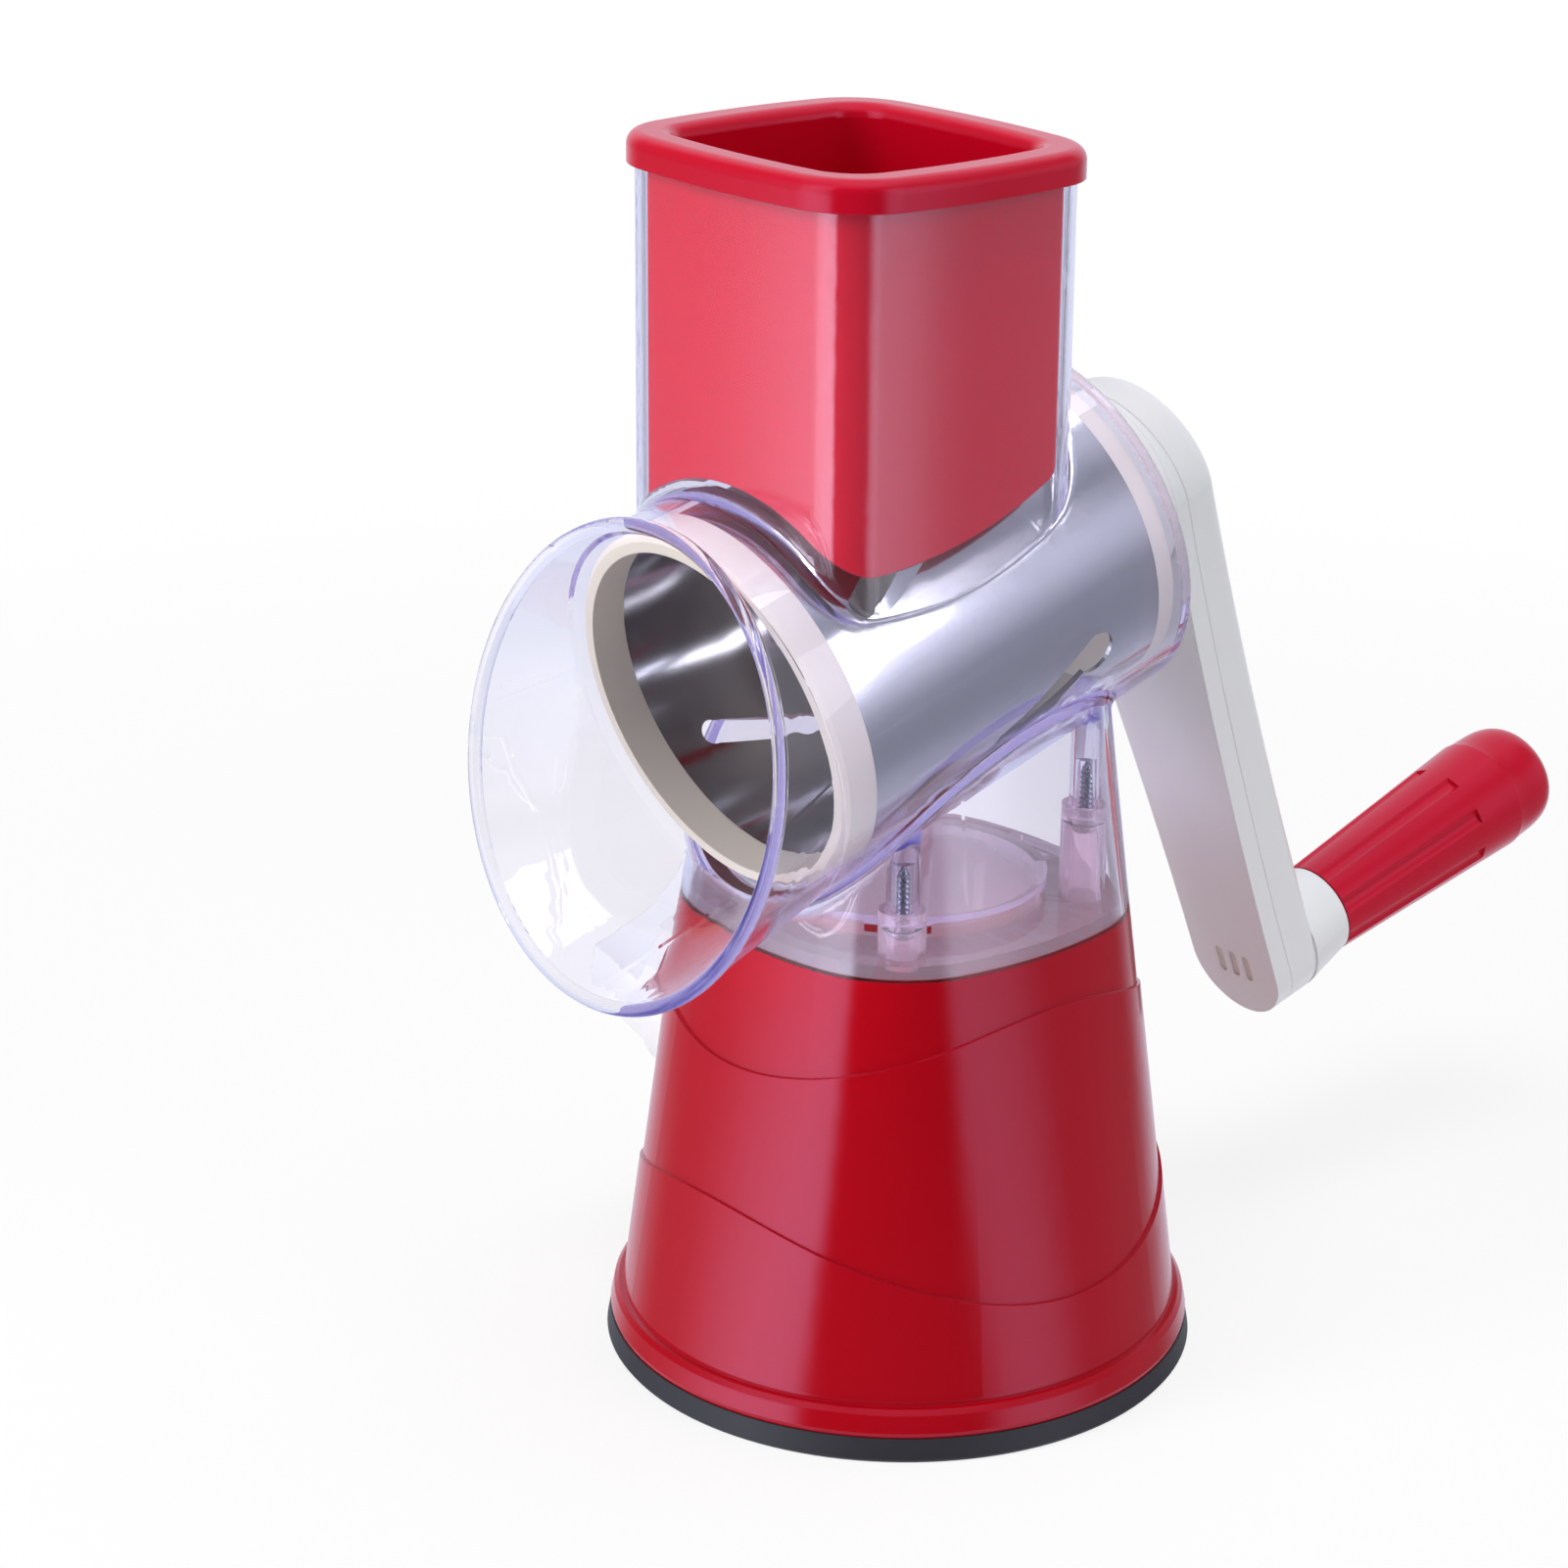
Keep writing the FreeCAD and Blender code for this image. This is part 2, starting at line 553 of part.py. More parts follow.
def make_base_shell():
    upper = cone_zone(0.0)
    middle = cone_zone(d.ledge_step).common(under_wave(d.upper_wave_height, d.upper_wave_swing))
    lower = cone_zone(2 * d.ledge_step).common(under_wave(d.lower_wave_height, -d.lower_wave_swing))
    groove_radius = d.cone_radius + 2 * d.ledge_step
    inside = d.cone_radius - d.base_wall
    bead_top = d.foot_height + d.bead_height
    bead = turned((
        (inside, d.foot_height),
        (d.bead_radius - 0.3, d.foot_height),
        (d.bead_radius, d.foot_height + 1.2),
        (d.bead_radius - 0.8, bead_top - 1.2),
        (d.bead_radius - 1.8, bead_top - 0.2),
        (groove_radius, bead_top),
        (groove_radius, d.cone_start),
        (inside, d.cone_start),
    ))
    outer = joined(upper, middle, lower, bead)
    square = (d.base_half, d.base_side_radius, d.base_corner_radius)
    cavity = ruled_loft(
        circle_like_square(inside, d.cone_start, *square),
        rounded_square(*square, d.base_height, inset=d.base_wall),
    )
    cavity = cavity.cut(box(-FAR, FAR, -FAR, FAR, d.base_height - d.deck_thickness, d.base_height + 1))
    cavity = cavity.fuse(rod(inside, 0, d.cone_start))
    shell = outer.cut(cavity)

    # Pocket behind the latch tab
    block_half = d.recess_half + d.base_wall
    back = d.recess_floor - d.base_wall
    pocket = box(-block_half, block_half, back, d.foot_radius, d.recess_low - d.base_wall, d.base_height)
    shell = joined(shell, pocket.common(upper))
    slot = recess_prism(d.recess_half, d.recess_low, d.recess_floor, d.foot_radius, d.base_height + 1)
    shell = shell.cut(slot)
    reach = d.nose_half + d.nose_gap
    nose_outer = d.nose_inner + d.nose_thickness
    arm_slot = box(-reach, reach, back - 1, d.recess_floor + 1,
                   d.nose_arm_low - d.nose_gap, d.base_height - d.deck_thickness)
    nose_slot = box(-reach, reach, d.nose_inner - d.latch_travel - d.nose_gap, nose_outer + d.nose_gap,
                    d.base_height - d.deck_thickness - 1, d.base_height + 1)
    shell = shell.cut(arm_slot).cut(nose_slot)

    # Posts for the frame screws, from the plate to the deck
    post_low = d.frame_low + d.frame_plate
    posts = []
    for x, y in four_corners(d.frame_post_reach, d.frame_post_reach):
        post = rod(d.frame_post_radius, post_low, d.base_height - d.deck_thickness / 2, x, y)
        hole = rod(d.frame_screw_radius + d.thread_gap, post_low, post_low + d.frame_screw_length, x, y)
        posts.append(post.cut(hole))
    turret = rod(d.turret_radius, d.base_height - 1, d.base_height + d.turret_height)
    shell = joined(shell, *posts, turret)

    # Round seat and hole for the lock knob
    seat = rod(d.seat_radius, d.knob_seat - 12, d.knob_seat)
    seat.Placement = KNOB
    shell = joined(shell, seat.cut(cavity))
    bore = rod(d.shaft_radius + 1, d.knob_seat - 14, d.knob_seat + 1)
    bore.Placement = KNOB
    return part_feature("base_shell", shell.cut(bore), WORLD)


def make_foot_ring():
    body = new_body("foot_ring", WORLD)
    revolve(body, "foot_turned", (
        ("foot_inner_radius", "0"),
        ("foot_radius - 0.6", "0"),
        ("foot_radius", "0.8"),
        ("foot_top_radius", "foot_height"),
        ("foot_inner_radius", "foot_height"),
    ))
    return body


def make_base_frame():
    """A plate that closes the cone, with the tower that guides the plunger and carries the shaft."""
    bore = d.plunger_radius + d.plunger_gap
    tower = bore + d.tower_wall
    plate_radius = d.cone_radius - d.base_wall - d.frame_gap
    plate_top = d.frame_low + d.frame_plate
    well = d.plunger_foot_radius + 3
    ceiling = d.pad_low + d.pad_boss + d.plunger_foot + d.plunger_lift + 1
    shape = turned((
        (well, d.frame_low),
        (plate_radius, d.frame_low),
        (plate_radius, plate_top),
        (well + d.tower_wall, plate_top),
        (well + d.tower_wall, ceiling + d.tower_wall),
        (tower, ceiling + d.tower_wall),
        (tower, d.tower_top),
        (bore, d.tower_top),
        (bore, ceiling),
        (well, ceiling),
    ))
    bearing = rod(d.shaft_radius + d.shaft_gap, -2 * tower, 2 * tower)
    bearing.Placement = KNOB
    shape = shape.cut(bearing)
    for x, y in four_corners(d.frame_post_reach, d.frame_post_reach):
        shape = shape.cut(rod(d.frame_screw_radius + 0.2, d.frame_low - 1, plate_top + 1, x, y))
        shape = shape.cut(rod(d.frame_head_radius + 0.4, d.frame_low - 1, plate_top - 2, x, y))
    return part_feature("base_frame", shape, WORLD)


def make_frame_screws():
    seat = d.frame_low + d.frame_plate - 2
    screws = []
    for x, y in four_corners(d.frame_post_reach, d.frame_post_reach):
        one = screw(d.frame_head_radius, d.frame_head_height, d.frame_screw_radius, d.frame_screw_length,
                    d.screw_point)
        one.translate(V(x, y, seat))
        screws.append(one)
    return part_feature("frame_screws", Part.makeCompound(screws), WORLD)


def make_suction_pad():
    body = new_body("suction_pad", WORLD)
    revolve(body, "pad_turned", (
        ("0", "pad_low"),
        ("pad_radius", "pad_low"),
        ("pad_radius - 0.5", "pad_low + pad_edge"),
        ("pad_boss_radius + 6", "pad_low + pad_edge + 0.4"),
        ("pad_boss_radius", "pad_low + pad_boss"),
        ("0", "pad_low + pad_boss"),
    ))
    return body


def make_plunger():
    """A post on the pad. Its window takes the eccentric, which lifts it."""
    low = d.pad_low + d.pad_boss
    top = d.tower_top
    post = turned((
        (0, low),
        (d.plunger_foot_radius, low),
        (d.plunger_foot_radius, low + d.plunger_foot),
        (d.plunger_radius, low + d.plunger_foot),
        (d.plunger_radius, top),
        (0, top),
    ))
    drop = d.cam_throw * math.sin(math.radians(45))
    half = d.cam_throw + d.cam_radius + 0.5
    bottom = d.shaft_height - drop - d.cam_radius - d.cam_window_gap
    ceiling = d.shaft_height - drop + d.cam_radius + d.cam_window_gap
    window = box(-2 * d.plunger_radius, 2 * d.plunger_radius, -half, half, bottom, ceiling)
    return part_feature("plunger", post.cut(window), WORLD)


# Lock knob

def make_cam_shaft():
    body = new_body("cam_shaft", KNOB)
    revolve(body, "shaft_turned", (
        ("0", "-shaft_inner_end"),
        ("shaft_radius", "-shaft_inner_end"),
        ("shaft_radius", "knob_seat + knob_reach - 10"),
        ("0", "knob_seat + knob_reach - 10"),
    ))
    cam = body.newObject("PartDesign::Pad", "eccentric")
    offset = "cam_throw * sqrt(0.5)"
    sketch = sketch_circle(body, "eccentric_outline", "XY_Plane", "cam_radius", f"-{offset}", offset)
    cam.Profile = sketch
    cam.Midplane = True
    cam.setExpression("Length", bound("cam_width"))
    doc.recompute()
    groove(body, "screw_hole", (
        ("0", "knob_seat + knob_reach - 10 - knob_screw_length"),
        ("knob_screw_radius + thread_gap", "knob_seat + knob_reach - 10 - knob_screw_length"),
        ("knob_screw_radius + thread_gap", "knob_seat + knob_reach - 9"),
        ("0", "knob_seat + knob_reach - 9"),
    ))
    return body


def make_lock_knob():
    low = d.knob_seat + d.seat_gap
    top = d.knob_seat + d.knob_reach
    knob = turned((
        (0, low),
        (d.knob_radius, low),
        (d.knob_radius, low + d.skirt_rim),
        (d.knob_face_radius, top),
        (0, top),
    ))
    for index in range(3):
        angle = math.radians(d.lobe_turn + 60 + 120 * index)
        reach = d.scoop_waist + d.scoop_radius
        x, y = reach * math.cos(angle), reach * math.sin(angle)
        scoop = rod(d.scoop_radius, low + d.skirt_height, top + 1, x, y)
        knob = knob.cut(scoop)
    shaft_end = top - 10
    knob = knob.cut(rod(d.shaft_radius + 0.02, low - 1, shaft_end))
    knob = knob.cut(rod(d.knob_screw_radius + 0.2, shaft_end - 1, top))
    knob = knob.cut(rod(d.knob_head_radius + 0.3, shaft_end + 3, top))
    knob = knob.cut(rod(d.inlay_radius + 0.05, top - d.inlay_thickness + d.inlay_proud, top + 1))
    return part_feature("lock_knob", knob, KNOB)


def make_knob_inlay():
    disc = doc.addObject("Part::Cylinder", "knob_inlay")
    disc.setExpression("Radius", bound("inlay_radius"))
    disc.setExpression("Height", bound("inlay_thickness"))
    height = d.knob_seat + d.knob_reach - d.inlay_thickness + d.inlay_proud
    disc.Placement = KNOB.multiply(FreeCAD.Placement(V(0, 0, height), FreeCAD.Rotation()))
    return disc


def make_knob_screw():
    seat = d.knob_seat + d.knob_reach - 7
    head = d.knob_head_radius, d.knob_head_height
    one = screw(*head, d.knob_screw_radius, d.knob_screw_length, d.screw_point)
    one.rotate(V(0, 0, 0), V(1, 0, 0), 180)
    one.translate(V(0, 0, seat))
    return part_feature("knob_screw", one, KNOB)


# Rear latch

def make_latch_tab():
    """The tab that is pressed in, with the arm and nose that catch the clear body."""
    top = d.base_height - d.tab_top_gap
    tab = recess_prism(d.tab_half, d.tab_low, d.tab_back, d.foot_radius, top)
    tab = tab.common(cone_zone(d.ledge_step + d.tab_proud))
    arm_top = d.base_height - d.deck_thickness - d.nose_gap
    arm = box(-d.nose_half, d.nose_half, d.nose_inner, d.tab_back + 1, d.nose_arm_low, arm_top)
    nose_outer = d.nose_inner + d.nose_thickness
    nose = box(-d.nose_half, d.nose_half, d.nose_inner, nose_outer, d.nose_arm_low, d.nose_top)
    tab = joined(tab, arm, nose)
    pocket = Part.makeCylinder(d.latch_spring_radius + 0.3, d.latch_spring_pocket + 1,
                               V(0, d.tab_back - 1, d.latch_spring_height), V(0, 1, 0))
    return part_feature("latch_tab", tab.cut(pocket), WORLD)


def spring_sleeve(radius, wall, length):
    """A hidden spring, drawn as a plain sleeve."""
    return rod(radius, 0, length).cut(rod(radius - wall, -1, length + 1))


def make_latch_spring():
    length = d.tab_back + d.latch_spring_pocket - d.recess_floor
    sleeve = spring_sleeve(d.latch_spring_radius, d.latch_spring_wall, length)
    turn = FreeCAD.Rotation(V(1, 0, 0), -90)
    place = FreeCAD.Placement(V(0, d.recess_floor, d.latch_spring_height), turn)
    return part_feature("latch_spring", sleeve, place)


# Clear body

def tilted_circle(radius, place, lean):
    """A circle round the drum's axis whose plane leans towards the hopper, in the drum's frame."""
    up = V(0, -math.cos(lean), math.sin(lean))
    centre = V(0, 0, place)
    across = V(1, 0, 0)
    edges = []
    for quarter in range(4):
        angles = [math.pi / 2 * (quarter + part / 2) for part in range(3)]
        points = [centre + across * (radius * math.cos(a)) + up * (radius * math.sin(a)) for a in angles]
        edges.append(Part.Arc(*points).toShape())
    return Part.Wire(edges)


def rim_place():
    """The outlet rim's centre on the drum's axis. Its top stays just ahead of the tube."""
    return -d.tube_front - d.rim_lead - d.rim_radius * math.sin(math.radians(d.rim_lean))


def tube_solid(inset, front, rear):
    """The clear tube, filled, drawn inset from its outside, in the drum's frame."""
    length = d.tube_front + d.tube_rear
    slope = (d.tube_rear_radius - d.tube_front_radius) / length
    front_radius = d.tube_front_radius + slope * (front + d.tube_front) - inset
    rear_radius = d.tube_front_radius + slope * (rear + d.tube_front) - inset
    return Part.makeCone(front_radius, rear_radius, rear - front, V(0, 0, front))


def hopper_prism(half, corner_radius, low, high, inset=0.0):
    """An upright prism on the hopper's outline."""
    outline = rounded_square(half, d.hopper_side_radius, corner_radius, low, inset)
    outline = squeezed(outline, d.hopper_aspect, d.hopper_shift)
    return Part.Face(outline).extrude(V(0, 0, high - low))


def skirt_solid(inset, low):
    square = (d.base_half, d.base_side_radius, d.base_corner_radius)
    return ruled_loft(
        rounded_square(*square, low, inset=inset),
        rounded_square(*square, d.skirt_top, inset=inset + d.skirt_narrowing),
    )


def posts():
    """Each clear post's place and the height of its sleeve."""
    rows = []
    for x, y in four_corners(d.post_reach_x, d.post_reach_y):
        rows.append((x, y, d.sleeve_top_front if y < 0 else d.sleeve_top_rear))
    return rows


def rounded_joint(tube, other, radius):
    """Two solids fused, with a fillet along the line on which their surfaces meet."""
    whole = tube.fuse(other)

    def touches(shape, point):
        gaps = [face.distToShape(Part.Vertex(point))[0] for face in shape.Faces]
        return min(gaps) < 0.02

    seam = []
    for edge in whole.Edges:
        span = edge.LastParameter - edge.FirstParameter
        points = [edge.valueAt(edge.FirstParameter + span * share) for share in (0.2, 0.5, 0.8)]
        if all(touches(tube, point) and touches(other, point) for point in points):
            seam.append(edge)
    return whole.makeFillet(radius, seam)


def make_housing():
    tube = tube_solid(0, -d.tube_front, d.tube_rear)
    lean = math.radians(d.rim_lean)
    front = tilted_circle(d.tube_front_radius, -d.tube_front, 0)
    flare = ruled_loft(front, tilted_circle(d.rim_radius, rim_place(), lean))
    front_bore = tilted_circle(d.tube_front_radius - d.clear_wall, -d.tube_front, 0)
    flare_bore = ruled_loft(front_bore, tilted_circle(d.rim_radius - d.clear_wall, rim_place(), lean))
    lip_normal = V(0, -math.sin(lean), -math.cos(lean))
    lip = Part.makeTorus(d.rim_radius - d.clear_wall / 2, d.lip_radius, V(0, 0, rim_place()), lip_normal)
    bore = tube_solid(d.clear_wall, -d.tube_front, d.tube_rear - d.clear_wall)
    rear_hole = rod(d.rear_hole_radius, d.tube_rear - d.clear_wall - 1, d.tube_rear + 1)
    for shape in (tube, flare, flare_bore, lip, bore, rear_hole):
        shape.Placement = DRUM.multiply(shape.Placement)
    hopper = hopper_prism(d.hopper_half, d.hopper_corner_radius, d.hopper_foot, d.hopper_top)
    hopper_bore = hopper_prism(d.hopper_half, d.hopper_corner_radius, d.hopper_foot + 10, d.hopper_top + 1,
                               inset=d.hopper_wall)
    skirt = skirt_solid(0, d.base_height)
    hollow = skirt_solid(d.clear_wall, d.base_height).cut(tube)
    lower = rounded_joint(tube, skirt, d.joint_fillet)
    upper = rounded_joint(tube, hopper, d.joint_fillet)
    body = joined(lower, upper, flare)
    body = body.cut(hollow)
    bosses = []
    for x, y, sleeve_top in posts():
        low = sleeve_top - d.sleeve_cup
        boss = rod(d.boss_radius, low, d.skirt_top, x, y).cut(tube)
        bosses.append(boss.cut(rod(d.housing_screw_radius + d.thread_gap, low - 1,
                                   low - d.sleeve_web + d.housing_screw_length, x, y)))
    body = joined(body, *bosses)
    body = body.cut(bore).cut(flare_bore).cut(hopper_bore).cut(rear_hole)
    body = body.fuse(lip).removeSplitter()
    return part_feature("housing", body, WORLD)


def make_housing_floor():
    """The clear plate that closes the skirt, with a sleeve for each screw and a raised crown."""
    square = (d.base_half, d.base_side_radius, d.base_corner_radius)
    inset = d.clear_wall + d.floor_gap
    low = d.base_height
    top = low + d.floor_thickness
    slope = d.skirt_narrowing / (d.skirt_top - d.base_height)
    plate = ruled_loft(
        rounded_square(*square, low, inset=inset),
        rounded_square(*square, top, inset=inset + slope * d.floor_thickness),
    )
    crown = rod(d.crown_radius, low, d.crown_top)
    plate = plate.fuse(crown).cut(rod(d.crown_radius - d.clear_wall, low - 1, d.crown_top - d.clear_wall))
    for turn in (45, 135):
        window = box(-FAR, FAR, -d.crown_window, d.crown_window, top, d.crown_top - d.clear_wall)
        window = window.common(rod(d.crown_radius + 1, low, d.crown_top))
        window.rotate(V(0, 0, 0), V(0, 0, 1), turn)
        plate = plate.cut(window)
    for x, y, sleeve_top in posts():
        plate = plate.fuse(rod(d.sleeve_radius, low, sleeve_top, x, y))
        cup_low = sleeve_top - d.sleeve_cup
        web_low = cup_low - d.sleeve_web
        plate = plate.cut(rod(d.boss_radius + d.boss_gap, cup_low, sleeve_top + 1, x, y))
        plate = plate.cut(rod(d.housing_screw_radius + 0.2, web_low - 1, cup_low + 1, x, y))
        plate = plate.cut(rod(d.sleeve_bore, low - 1, web_low, x, y))
    reach = d.nose_half + d.nose_gap
    plate = plate.cut(box(-reach, reach, d.nose_inner - d.latch_travel - d.nose_gap,
                          d.nose_inner + d.nose_thickness + d.nose_gap, low - 1, top + 1))
    return part_feature("housing_floor", plate, WORLD)


def make_housing_screws():
    screws = []
    for x, y, sleeve_top in posts():
        one = screw(d.housing_head_radius, d.housing_head_height, d.housing_screw_radius,
                    d.housing_screw_length, d.screw_point)
        one.translate(V(x, y, sleeve_top - d.sleeve_cup - d.sleeve_web))
        screws.append(one)
    return part_feature("housing_screws", Part.makeCompound(screws), WORLD)


def heel_block(rear):
    """What is rounded off the pusher's lower rear corners, where the arch runs out into its sides."""
    tilt = math.radians(d.axis_tilt)
    beside_axis = math.sqrt(d.pusher_arch_radius ** 2 - d.pusher_half ** 2)
    y = rear - d.pusher_heel
    arch_edge = d.axis_height + (beside_axis + y * math.sin(tilt)) / math.cos(tilt)
    bite = 0.3
    z = arch_edge + d.pusher_heel / math.cos(tilt) - bite
    block = box(-FAR, FAR, y + d.pusher_heel * math.sin(tilt), FAR, 0, z)
    return block.cut(Part.makeCylinder(d.pusher_heel, 2 * FAR, V(-FAR, y, z), V(1, 0, 0)))


def make_food_pusher():
    """A cup that slides in the hopper, with a beaded rim. Its underside arches over the drum."""
    low = d.hopper_foot
    body = hopper_prism(d.pusher_half, d.pusher_corner_radius, low, d.hopper_top + 1)
    rim_top = d.hopper_top + d.pusher_rim
    mouth = hopper_prism(d.pusher_mouth_half, d.pusher_mouth_corner, d.pusher_floor, rim_top + 1)
    rim = hopper_prism(d.pusher_rim_half, d.pusher_rim_corner, d.hopper_top, rim_top).cut(mouth)
    rim = rim.makeFillet(d.pusher_bead, [edge for edge in rim.Edges if edge.BoundBox.ZMin > rim_top - 0.01])
    arch = rod(d.pusher_arch_radius, -FAR, FAR)
    arch.Placement = DRUM
    under_axis = box(-FAR, FAR, -FAR, FAR, 0, d.axis_height - d.pusher_reach)
    body = body.cut(arch).cut(under_axis)
    body = max(body.Solids, key=lambda solid: solid.Volume)
    body = body.cut(heel_block(body.BoundBox.YMax))
    return part_feature("food_pusher", body.cut(mouth).fuse(rim).removeSplitter(), WORLD)


# Drum

def sheet_radius(place):
    """Outside of the steel sheet at a place along the axis."""
    slope = (d.sheet_rear_radius - d.sheet_front_radius) / (d.sheet_rear + d.sheet_front)
    return d.sheet_front_radius + slope * (place + d.sheet_front)


# Half the depth of the tool that cuts a slot
SLOT_DEPTH = 4.0


def slanted_strip(section, front, rear):
    """A strip that winds round the drum along a slot. At each share of its length, section gives its
    corners as width beside the slot's middle and height above the sheet."""
    slant = math.atan(sheet_radius(0) * math.radians(d.slot_turn))
    stations = 14
    wires = []
    for station in range(stations + 1):
        share = station / stations
        place = front + share * (rear - front)
        radius = sheet_radius(place)
        turn = -math.radians(d.slot_turn) * (place + d.slot_front)
        points = []
        for width, height in section(share):
            angle = turn + width / math.cos(slant) / radius
            reach = radius + height
            points.append(V(reach * math.cos(angle), reach * math.sin(angle), place))
        wires.append(Part.makePolygon(points + points[:1]))
    return Part.makeLoft(wires, True, False)


def slot_section(share):
    half = d.slot_width / 2
    return (-half, -SLOT_DEPTH), (half, -SLOT_DEPTH), (half, SLOT_DEPTH), (-half, SLOT_DEPTH)


def blade_section(share):
    """The raised lip beside a slot. It rises from nothing at both ends of the slot."""
    inner = d.slot_width / 2 - 0.5
    outer = d.slot_width / 2 + d.blade_width
    buried = -d.sheet_thickness / 2
    lift = -0.1 + (d.blade_lift + 0.1) * math.sin(math.pi * share) ** 0.6
    return (inner, buried), (outer, buried), (outer, buried / 2), (inner, lift)


def slot_cutter():
    """One slot. Its front end is round and its rear end opens into a wider round eye."""
    cutter = slanted_strip(slot_section, -d.slot_front, d.slot_rear)
    ends = (-d.slot_front, d.slot_width / 2 * 1.04, 0), (d.slot_rear, d.eye_radius, d.eye_shift)
    for place, radius, shift in ends:
        low = V(sheet_radius(place) - SLOT_DEPTH, 0, place)
        end = Part.makeCylinder(radius, 2 * SLOT_DEPTH, low, V(1, 0, 0))
        turn = math.degrees(shift / sheet_radius(place)) - d.slot_turn * (place + d.slot_front)
        end.rotate(V(0, 0, 0), V(0, 0, 1), turn)
        cutter = joined(cutter, end)
    return cutter


def make_drum_sheet():
    """A slightly tapered sheet with slanted slots. Beside each slot the metal rises to a blade."""
    length = d.sheet_front + d.sheet_rear
    inner_front = d.sheet_front_radius - d.sheet_thickness
    inner_rear = d.sheet_rear_radius - d.sheet_thickness
    outer = Part.makeCone(d.sheet_front_radius, d.sheet_rear_radius, length, V(0, 0, -d.sheet_front))
    inner = Part.makeCone(inner_front, inner_rear, length, V(0, 0, -d.sheet_front))
    sheet_solid = outer.cut(inner)
    blade = slanted_strip(blade_section, 1.5 - d.slot_front, d.slot_rear - 1.5)
    slot = slot_cutter()
    turns = [d.slot_phase - 360 / d.slot_count * index for index in range(int(d.slot_count))]
    for turn in turns:
        ridge = blade.copy()
        ridge.rotate(V(0, 0, 0), V(0, 0, 1), turn)
        sheet_solid = joined(sheet_solid, ridge)
    for turn in turns:
        cutter = slot.copy()
        cutter.rotate(V(0, 0, 0), V(0, 0, 1), turn)
        sheet_solid = sheet_solid.cut(cutter)
    return part_feature("drum_sheet", sheet_solid, DRUM)


def make_drum_front_ring():
    body = new_body("drum_front_ring", DRUM)
    revolve(body, "ring_turned", (
        ("ring_inner_radius", "-sheet_front - ring_length"),
        ("ring_radius - ring_edge", "-sheet_front - ring_length"),
        ("ring_radius", "-sheet_front - ring_length + ring_edge"),
        ("ring_radius", "-sheet_front"),
        ("ring_inner_radius", "-sheet_front"),
    ))
    return body


def make_drum_rear_cap():
    body = new_body("drum_rear_cap", DRUM)
    revolve(body, "cap_turned", (
        ("0", "sheet_rear - inner_hub"),
        ("inner_hub_radius", "sheet_rear - inner_hub"),
        ("inner_hub_radius", "sheet_rear"),
        ("sheet_rear_radius", "sheet_rear"),
        ("sheet_rear_radius", "cap_end"),
        ("hub_radius", "cap_end"),
        ("hub_radius", "hub_end"),
        ("0", "hub_end"),
    ))
    doc.recompute()
    before = body.Shape.Volume
    socket = body.newObject("PartDesign::Pocket", "socket")
    sketch = sketch_outline(body, "socket_outline", "XY_Plane", rectangle("socket_half", "socket_half"))
    sketch.setExpression("AttachmentOffset.Base.z", bound("hub_end"))
    socket.Profile = sketch
    socket.setExpression("Length", bound("hub_end - drive_front + 0.5"))
    doc.recompute()
    if body.Shape.Volume >= before:
        raise ValueError("the socket cuts nothing")
    return body


# Crank

def arm_outline(inset=0.0):
    """The arm seen along the drum's axis, drawn inset from its full size."""
    top = d.arm_top_radius - inset
    waist = d.arm_waist_half - inset
    end = d.arm_end_radius - inset
    reach = d.arm_length
    edges = [
        Part.Arc(V(-top, 0, 0), V(0, -top, 0), V(top, 0, 0)).toShape(),
        Part.Arc(V(top, 0, 0), V(waist, d.arm_waist, 0), V(end, reach, 0)).toShape(),
        Part.Arc(V(end, reach, 0), V(0, reach + end, 0), V(-end, reach, 0)).toShape(),
        Part.Arc(V(-end, reach, 0), V(-waist, d.arm_waist, 0), V(-top, 0, 0)).toShape(),
    ]
    return Part.Face(Part.Wire(edges))


def arm_slab(low, low_slope, high, high_slope, inset=0.0):
    """The arm's outline between two leaning planes."""
    near, far = -2 * d.arm_top_radius, d.arm_length + 2 * d.arm_end_radius
    block = arm_outline(inset).extrude(V(0, 0, 2 * d.arm_outer))
    slab = prism_along_x((
        (near, low + low_slope * near),
        (far, low + low_slope * far),
        (far, high + high_slope * far),
        (near, high + high_slope * near),
    ), 2 * d.arm_top_radius)
    return block.common(slab)


def on_seam(corners):
    """A block under the button from corners across the arm, their heights counted from the seam."""
    base = d.arm_parting + d.arm_slope * d.button_stem
    points = [V(x, d.button_stem, base + height) for x, height in corners]
    face = Part.Face(Part.makePolygon(points + points[:1]))
    return face.extrude(V(0, d.stem_depth, d.arm_slope * d.stem_depth))


